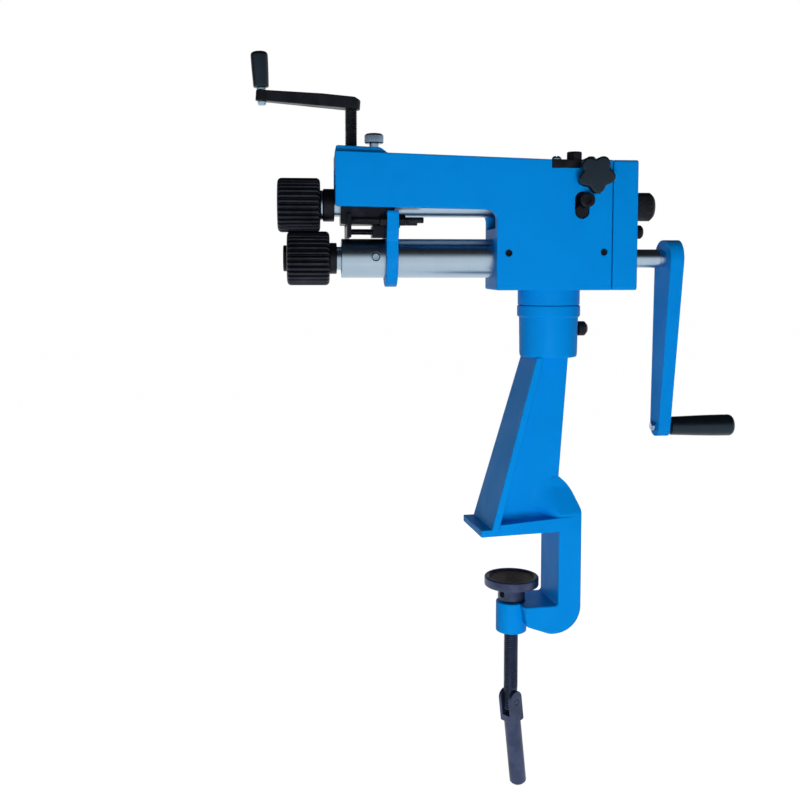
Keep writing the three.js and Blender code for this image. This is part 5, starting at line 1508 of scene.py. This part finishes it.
@dataclass
class MainCrank(Assembly):
    """Crank arm with its grip and screws on the lower shaft."""

    start: float = 110.5
    thickness: float = 13.2
    length: float = 169.7
    hub: float = 18.0
    end: float = 10.0
    grip_radius: float = 10.75
    grip_foot: float = 9.25
    grip_length: float = 66.0
    shoulder: float = 2.4
    draft: float = 3.6
    lean: float = -0.012

    @property
    def face(self) -> float:
        """Outer face of the arm."""
        return self.start + self.thickness

    @property
    def grip_axis(self) -> Pair:
        """Where the grip's axis stands."""
        return (0.0, -self.length)

    def build(self) -> None:
        """Builds the four pieces of the main crank."""
        shop, finishes, place, low = self.shop, self.shop.finishes, self.layout.crank(), "lower_spindle"
        shop.piece("main_crank_arm", self.arm(), place, low, finishes.crank_paint, ["crank_arm"], 38.0)
        shop.piece("main_grip_bolt", self.bolt(), place, low, finishes.zinc, ["crank_grip_bolt"])
        shop.piece("main_grip", self.grip(), place, "crank_grip", finishes.plastic, ["crank_grip"])
        shop.piece("crank_retaining_screw", self.end_screw(), place, low, finishes.black_oxide, ["crank_end_screw"])

    def arm(self) -> Solid:
        """Tapered flat arm with round ends, its inner face drafted to both sides of the hub."""
        start, draft = self.start, self.draft
        outline = [(y, -x) for x, y in link(self.length, self.hub, self.end)]
        body = prism(outline, self.thickness + draft, Axis.X, start + (self.thickness - draft) / 2)
        slope = ((1, -draft / (2 * self.hub), self.lean, start - draft / 2), (0, 1, 0, 0), (0, 0, 1, 0), (0, 0, 0, 1))
        inner = block((-20.0, -30.0, -200.0), (0.0, 30.0, 40.0)).moved(Matrix(slope))
        ends = (start - 1, self.face + 1)
        return body.cut(inner).softened(1.4).cut(rod(Axis.X, *ends, 8.15), rod(Axis.X, *ends, M6_HOLE, self.grip_axis))

    def bolt(self) -> Solid:
        """Bolt that the grip turns on, with its head on the inner face."""
        start, face, collar = self.start, self.face, self.face + self.shoulder
        profile = [
            (start - 4, 3.6), (start - 3, 4.6), (start, 4.6), (start, 3.0), (face, 3.0), (face, 4.2), (collar, 4.2),
            (collar, 3.0), (collar + self.grip_length - 8, 3.0),
        ]
        return turned_bar(Axis.X, profile, self.grip_axis, 0.4, 40)

    def grip(self) -> Solid:
        """Moulded grip, thickest near its round end."""
        start = self.face + self.shoulder + 0.3
        profile = grip_profile(start, self.grip_length, self.grip_foot, self.grip_radius)
        bore = rod(Axis.X, start - 1, start + self.grip_length - 7, 3.4, self.grip_axis)
        return spun(profile, Axis.X, self.grip_axis, 72).cut(bore)

    def end_screw(self) -> Solid:
        """Socket screw in the end of the shaft, sunk in the arm."""
        face = self.face - 0.3
        head = turned_bar(Axis.X, [(118.0, 7.4), (face, 7.4)], ease=0.8)
        return head.joined(rod(Axis.X, 103.0, 119.0, 3.0)).cut(prism(hexagon(6.0), 6.0, Axis.X, face))


def grip_profile(start: float, length: float, foot: float, belly: float) -> list[Pair]:
    """Profile of a moulded grip.

    Args:
        start: Where it begins.
        length: Its length.
        foot: Radius at its foot.
        belly: Its largest radius.

    Returns:
        Points as (along, radius) from the axis and back.
    """
    points: list[Pair] = [(start, 0.0), (start, foot - 1.0), (start + 0.35, foot - 0.3), (start + 1.0, foot)]
    corner = belly * 0.42
    end = start + length - corner - 0.5
    for share in steps(0.0, 1.0, 14)[1:]:
        bulge = foot + (belly - foot) * math.sin(share * math.pi / 2) ** 1.1
        points.append((start + 1.0 + (end - start - 1.0) * share, bulge))
    points += [(end + corner * math.sin(a), belly - corner + corner * math.cos(a)) for a in steps(0.2, math.pi / 2, 7)]
    return [*points, (start + length, 0.0)]


# Upper carrier and pressure screw


@dataclass
class Carrier(Assembly):
    """Tilting bearing blocks of the upper shaft, thumb screw and axial knob."""

    half: float = 21.5
    front: Pair = (-206.2, -156.0)
    rise: Pair = (31.5, 70.5)
    rear: Pair = (5.2, 33.2)
    rear_rise: Pair = (32.0, 82.0)
    thumb_z: float = 108.0
    thumb_head: float = 9.0
    knob_radius: float = 13.75

    def build(self) -> None:
        """Builds the carrier's pieces."""
        shop, finishes, place = self.shop, self.shop.finishes, self.layout.head()
        black = finishes.black_oxide
        shop.piece("front_block", self.front_block(), place, "upper_carrier", black, ["front_bearing_block"])
        shop.piece("rear_block", self.rear_block(), place, "upper_carrier", black, ["rear_bearing_block"])
        shop.piece("knurled_thumb_screw", self.thumb_screw(), place, "thumb_screw", finishes.zinc, ["thumb_screw"])
        shop.piece("axial_adjusting_knob", self.axial_knob(), place, "axial_knob", black, ["axial_knob"])
        shop.dress(finishes.bronze, "upper_front_bush")

    def front_block(self) -> Solid:
        """Front bearing block with the round recess in its near side."""
        (x0, x1), (z0, z1), half = self.front, self.rise, self.half
        return block((x0, -half, z0), (x1, half, z1), 1.0).cut(
            rod(Axis.X, x0 - 1, x1 + 1, 15.15, (0.0, self.upper_z)),
            rod(Axis.Y, -half - 1, -half + 1.5, 11.0, (-179.0, 52.0), 72),
            rod(Axis.Z, z1 - 5.1, z1 + 1, 4.2, (self.layout.thumb_x, 0.0)),
        )

    def rear_block(self) -> Solid:
        """Rear bearing block with its trunnions in the windows."""
        (x0, x1), (z0, z1) = self.rear, self.rear_rise
        body = block((x0, -self.half, z0), (x1, self.half, z1), 1.0)
        trunnions = turned_bar(Axis.Y, [(-30.0, 6.5), (30.0, 6.5)], self.layout.pivot, 0.7)
        keeper_hole = rod(Axis.Y, -22.5, -13.5, 3.55, self.layout.keeper)
        return body.joined(trunnions).cut(rod(Axis.X, 4.0, 35.0, 11.4, (0.0, self.upper_z)), keeper_hole)

    def thumb_screw(self) -> Solid:
        """Knurled thumb screw with a slotted top."""
        stations = [(0.0, 1.2), (0.9, 0.0), (7.2, 0.0), (8.4, 0.7), (9.1, 1.7), (9.4, 3.0)]
        head = knurled(44, self.thumb_head, 0.45, stations).turned(-90.0, Axis.Y)
        neck = turned_bar(Axis.Z, [(-3.7, 4.4), (0.5, 4.4)], ease=0.3)
        stem = thread(65.9 - self.thumb_z, 0.5, 3.45, 1.25, 28)
        return head.joined(neck, stem).shifted(self.layout.thumb_x, 0.0, self.thumb_z)

    def axial_knob(self) -> Solid:
        """Knurled knob with a chamfered end and its threaded neck."""
        start, end = 74.2, 96.8
        body = knurled(64, self.knob_radius, 0.4, [
            (start, 0.8), (start + 0.8, 0.0), (end - 3.4, 0.0), (end - 2.8, 0.4), (end - 0.3, 2.8), (end, 3.4)
        ]).joined(rod(Axis.X, 70.0, start + 1, 10.5))
        dimple = spun([(end - 1.2, 0.0), (end - 1.2, 3.0), (end + 1, 5.0), (end + 1, 0.0)], Axis.X)
        return body.cut(rod(Axis.X, 69.0, end - 4, 8.6), dimple).shifted(0.0, 0.0, self.upper_z)


@dataclass
class PressureScrew(Assembly):
    """Pressure foot, screw and small crank over the arm."""

    hub: float = 8.8
    end: float = 5.5
    height: float = 11.0
    end_height: float = 10.0
    radius: float = 5.8
    threaded: Pair = (76.1, 148.0)
    tip: Pair = (73.4, 77.0)
    grip_radius: float = 8.0
    grip_foot: float = 7.2
    grip_length: float = 33.3
    grip_seat: float = 5.67
    shoulder: float = 1.6

    def build(self) -> None:
        """Builds the five pieces of the pressure screw."""
        shop, finishes, layout = self.shop, self.shop.finishes, self.layout
        black, turning = finishes.black_oxide, "pressure_screw"
        shop.dress(finishes.ground_upright, "pressure_foot")
        shop.piece("pressure_screw_thread", self.screw(), layout.head(), turning, black, ["pressure_screw"])
        shop.piece("small_crank_arm", self.arm(), layout.press_crank(), turning, black, ["pressure_crank"])
        handle = layout.press_handle()
        shop.piece("small_grip_bolt", self.bolt(), handle, turning, finishes.zinc, ["pressure_grip_bolt"])
        shop.piece("small_grip", self.grip(), handle, "pressure_grip", finishes.plastic, ["pressure_grip"])

    def screw(self) -> Solid:
        """Threaded screw with its plain tip."""
        body = thread(*self.threaded, self.radius, 1.5, 36).joined(rod(Axis.Z, *self.tip, 4.8))
        return body.shifted(self.layout.press_x, 0.0, 0.0)

    def arm(self) -> Solid:
        """Small crank arm, rising and thinning towards its grip."""
        layout, hub, top, low = self.layout, self.hub, self.height / 2, self.end_height / 2
        far = -layout.press_length
        near, tip = far + self.end + 1, far - self.end - 1
        plan = [(-x, y) for x, y in link(layout.press_length, hub, self.end)]
        side = [
            (hub + 1, -top), (hub + 1, top - 2.5), (hub - 6, top), (-28.0, top + 0.6), (near, low), (tip, low),
            (tip, -low), (near, -low), (-hub, -top),
        ]
        body = prism(plan, 40.0, Axis.Z).common(prism(side, 40.0, Axis.Y)).softened(0.8, 40.0, 3)
        shaft = rod(Axis.Z, -40.0, 3.15, self.radius + 0.15).turned(-layout.press_tilt, Axis.Y)
        hole = rod(Axis.Z, -20.0, 20.0, M6_HOLE).turned(-layout.press_lean, Axis.Y)
        return body.cut(shaft, hole.shifted(far, 0.0, 0.0))

    def bolt(self) -> Solid:
        """Bolt that the small grip turns on."""
        half = self.grip_seat
        start = half + self.shoulder
        profile = [(-half - 3, 3.4), (-half, 4.4), (-half, 3.0), (half, 3.0), (half, 4.2), (start, 4.2), (start, 3.0)]
        return turned_bar(Axis.Z, [*profile, (start + self.grip_length - 6, 3.0)], ease=0.3, sides=40)

    def grip(self) -> Solid:
        """Small moulded grip."""
        start = self.grip_seat + self.shoulder + 0.3
        profile = grip_profile(start, self.grip_length, self.grip_foot, self.grip_radius)
        return spun(profile, Axis.Z).cut(rod(Axis.Z, start - 1, start + self.grip_length - 5, 3.4))


# Fence


@dataclass
class Fence(Assembly):
    """Fence plate on two rods, held by a bracket that slides on the tube."""

    bracket_x: float = -164.0
    thickness: float = 11.0
    ring: float = 27.0
    ear_y: float = 33.0
    ear_top: float = 44.0
    notch_z: float = 29.5
    notch_y: float = 22.5
    plate_x: float = -201.0
    plate_thickness: float = 4.0
    rod_y: float = 27.5
    rod_z: float = 35.0
    rod_hole: float = 3.3
    pin_z: float = 25.0
    rod_end: float = -130.0

    @property
    def bracket_end(self) -> float:
        """Rear face of the bracket."""
        return self.bracket_x + self.thickness

    def build(self) -> None:
        """Builds the fence's pieces."""
        shop, finishes, place = self.shop, self.shop.finishes, self.layout.head()
        black, carried = finishes.black_oxide, "fence_bracket"
        shop.piece("tube_bracket", self.bracket(), place, carried, finishes.paint, ["fence_bracket"])
        middle = (self.bracket_x + self.thickness / 2, 0.0)
        grub = grub_screw(self.ring - 0.5, 19.1, middle, 4.0)
        shop.piece("bracket_grub", grub, place, carried, black, ["bracket_set_screw"])
        for side, y in (("near", -self.rod_y), ("far", self.rod_y)):
            for end, x in (("front", self.bracket_x - 6), ("back", self.bracket_end)):
                name = f"rod_nut_{side}_{end}"
                shop.piece(f"hex_{name}", self.nut(x, y), place, carried, black, [name])
            threaded = self.threaded(self.plate_x, self.rod_end).shifted(0.0, y, self.rod_z)
            shop.piece(f"threaded_rod_{side}", threaded, place, "fence", black, [f"fence_rod_{side}"])
        shop.piece("guide_pin", self.pin(), place, carried, black, ["fence_guide_pin"])
        shop.piece("fence_blade", self.plate(), place, "fence", black, ["fence_plate"])

    def bracket(self) -> Solid:
        """Ring round the tube with two ears for the rods."""
        x0, x1, ring = self.bracket_x, self.bracket_end, self.ring
        right = [
            (ring, 0, 0), (ring, 16, 4), (self.ear_y, 24, 4), (self.ear_y, self.ear_top, 3),
            (self.notch_y, self.ear_top, 1), (self.notch_y, self.notch_z, 2),
        ]
        ears = prism(mirrored(right, 5), self.thickness, Axis.X, (x0 + x1) / 2, 0.8)
        body = ears.joined(turned_bar(Axis.X, [(x0, ring), (x1, ring)], ease=0.8, sides=96))
        holes = [rod(Axis.X, x0 - 1, x1 + 1, self.rod_hole, (y, self.rod_z)) for y in (-self.rod_y, self.rod_y)]
        bore = rod(Axis.X, x0 - 1, x1 + 1, 18.8, sides=96)
        pin_hole = rod(Axis.X, x0 - 1, x0 + 8.3, M6_HOLE, (0.0, self.pin_z))
        return body.cut(bore, pin_hole, *holes, rod(Axis.Y, 16.5, ring + 1, 3.35, ((x0 + x1) / 2, 0.0)))

    def nut(self, start: float, y: float) -> Solid:
        """Chamfered hexagon nut on a rod."""
        body = hex_head(10.0, 3.0, math.pi / 6).joined(hex_head(10.0, 3.05, math.pi / 6).turned(180.0, Axis.X))
        body = body.shifted(0.0, 0.0, 3.0).turned(90.0, Axis.Y).shifted(start, y, self.rod_z)
        return body.cut(rod(Axis.X, start - 1, start + 7, self.rod_hole, (y, self.rod_z)))

    def threaded(self, start: float, end: float) -> Solid:
        """Threaded rod along X."""
        return thread(start, end, 3.0, 1.0, 28).turned(90.0, Axis.Y)

    def pin(self) -> Solid:
        """Threaded guide pin with the stop block behind the fence."""
        stop = block((self.bracket_x - 12.5, -15.0, -5.6), (self.bracket_x, 15.0, 5.6), 0.8)
        return self.threaded(self.plate_x + 1, self.bracket_x + 8).joined(stop).shifted(0.0, 0.0, self.pin_z)

    def plate(self) -> Solid:
        """Fence blade with two ears beside the bearing block."""
        half, low, bridge, high, notch = 36.0, 19.2, 30.0, 42.0, 23.5
        x0, thick = self.plate_x, self.plate_thickness
        right = [(half, low, 1), (half, high, 2), (notch, high, 1), (notch, bridge, 1)]
        body = prism(mirrored(right, 4), thick, Axis.X, x0 + thick / 2, 0.5)
        holes = [*[(M6_HOLE, y, self.rod_z) for y in (-self.rod_y, self.rod_y)], (3.4, 0.0, self.pin_z)]
        return body.cut(*[rod(Axis.X, x0 - 1, x0 + 5, r, (y, z)) for r, y, z in holes])


# Studio


@dataclass
class Studio:
    """Camera, lamps, floor and white surround."""

    layout: Layout
    eye: Point = (-235.1, -953.8, -9.1)
    yaw: float = 5.14
    pitch: float = 4.0
    lens: float = 45.0
    shift_y: float = -0.0776
    floor_z: float = -0.2645
    lamps: list[tuple[str, Point, float, float, bool]] = field(
        default_factory=lambda: [
            ("key_lamp", (-0.1, -1.0, -0.04), 0.4, 8.7, False),
            ("back_lamp", (0.25, 1.2, 0.12), 0.5, 8.5, False),
            ("fill_lamp", (-1.9, -0.8, 0.3), 1.2, 1.6, True),
            ("top_lamp", (0.1, 0.3, 1.7), 0.8, 0.8, False),
        ]
    )

    def build(self) -> None:
        """Sets up the whole studio."""
        self.camera()
        self.lights()
        self.floor()
        self.world()

    def camera(self) -> None:
        """Camera at the photograph's viewing angle."""
        data = bpy.data.cameras.new("camera")
        data.lens = self.lens
        data.sensor_width = 36.0
        data.sensor_fit = "HORIZONTAL"
        data.shift_y = self.shift_y
        data.clip_start = 0.01
        item = bpy.data.objects.new("camera", data)
        bpy.context.scene.collection.objects.link(item)
        head = self.layout.head().translation
        item.location = [(a + b) * MM for a, b in zip(self.eye, head)]
        item.rotation_euler = (math.radians(90.0 - self.pitch), 0.0, -math.radians(self.yaw))
        bpy.context.scene.camera = item

    def lights(self) -> None:
        """Soft lamps aimed at the middle of the machine; only the fill lamp shows in metal."""
        target = Vector((0.0, 0.0, 0.15))
        for name, spot, size, power, mirrored in self.lamps:
            data = bpy.data.lights.new(name, "AREA")
            data.size = size
            data.energy = power
            item = bpy.data.objects.new(name, data)
            item.location = spot
            item.visible_glossy = mirrored
            item.rotation_euler = (target - Vector(spot)).to_track_quat("-Z", "Y").to_euler()
            bpy.context.scene.collection.objects.link(item)

    def floor(self) -> None:
        """Pale floor that keeps the object's shadow and is white to the camera."""
        bm = bmesh.new()
        bmesh.ops.create_grid(bm, x_segments=1, y_segments=1, size=12.0)
        mesh = bpy.data.meshes.new("floor")
        bm.to_mesh(mesh)
        bm.free()
        item = bpy.data.objects.new("floor", mesh)
        item.location = (0.0, 0.0, self.floor_z)
        bpy.context.scene.collection.objects.link(item)
        material = bpy.data.materials.new("pale_floor")
        net = NodeTree.emptied(material)
        matt = net.add("BsdfDiffuse", Color=(0.8, 0.8, 0.8)).outputs[0]
        glow = net.add("Emission", Strength=1.075).outputs[0]
        path = net.add("LightPath").outputs
        seen = net.maths("MAXIMUM", path["Is Camera Ray"], path["Is Glossy Ray"])
        mix = net.add("MixShader", net.maths("MULTIPLY", seen, 0.92), matt, glow)
        net.add("OutputMaterial", mix.outputs[0])
        mesh.materials.append(material)

    def world(self) -> None:
        """White surround, dim as a light source; mirrors see its top and its left side dark, as in a room."""
        world = bpy.data.worlds.new("surround")
        bpy.context.scene.world = world
        net = NodeTree.emptied(world)
        white = (1.0, 1.0, 1.0)
        path = net.add("LightPath").outputs
        way = net.add("SeparateXYZ", net.add("TexCoord").outputs["Generated"]).outputs
        low = net.ramp(way["Z"], 0.02, 0.4, 1.0, 0.02)
        side = net.ramp(way["X"], -0.95, -0.6, 0.15, 1.0)
        strength = net.maths("MAXIMUM", net.maths("MULTIPLY", low, side), path["Is Camera Ray"])
        clear = net.maths("MAXIMUM", path["Is Camera Ray"], path["Is Transmission Ray"])
        seen = net.maths("MAXIMUM", clear, path["Is Glossy Ray"])
        dim, bright = (net.add("Background", white, level).outputs[0] for level in (0.12, strength))
        net.add("OutputWorld", net.add("MixShader", seen, dim, bright).outputs[0])


def main() -> None:
    """Builds the machine sub-assembly by sub-assembly, then the studio."""
    logging.basicConfig(level=logging.INFO, format="%(name)s: %(message)s")
    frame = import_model()
    layout = Layout()
    shop = Workshop(layout, Finishes(), frame["nodes"])
    for kind in (Pedestal, ClampScrew, HeadCasting, Rolls, MainCrank, Carrier, PressureScrew, Fence):
        kind(shop).build()
        LOG.info("%s done", kind.__name__)
    Studio(layout).build()
    view = bpy.context.scene.view_settings
    view.view_transform = "Standard"
    LOG.info("%d pieces made", shop.made)


if __name__ == "__main__":
    main()
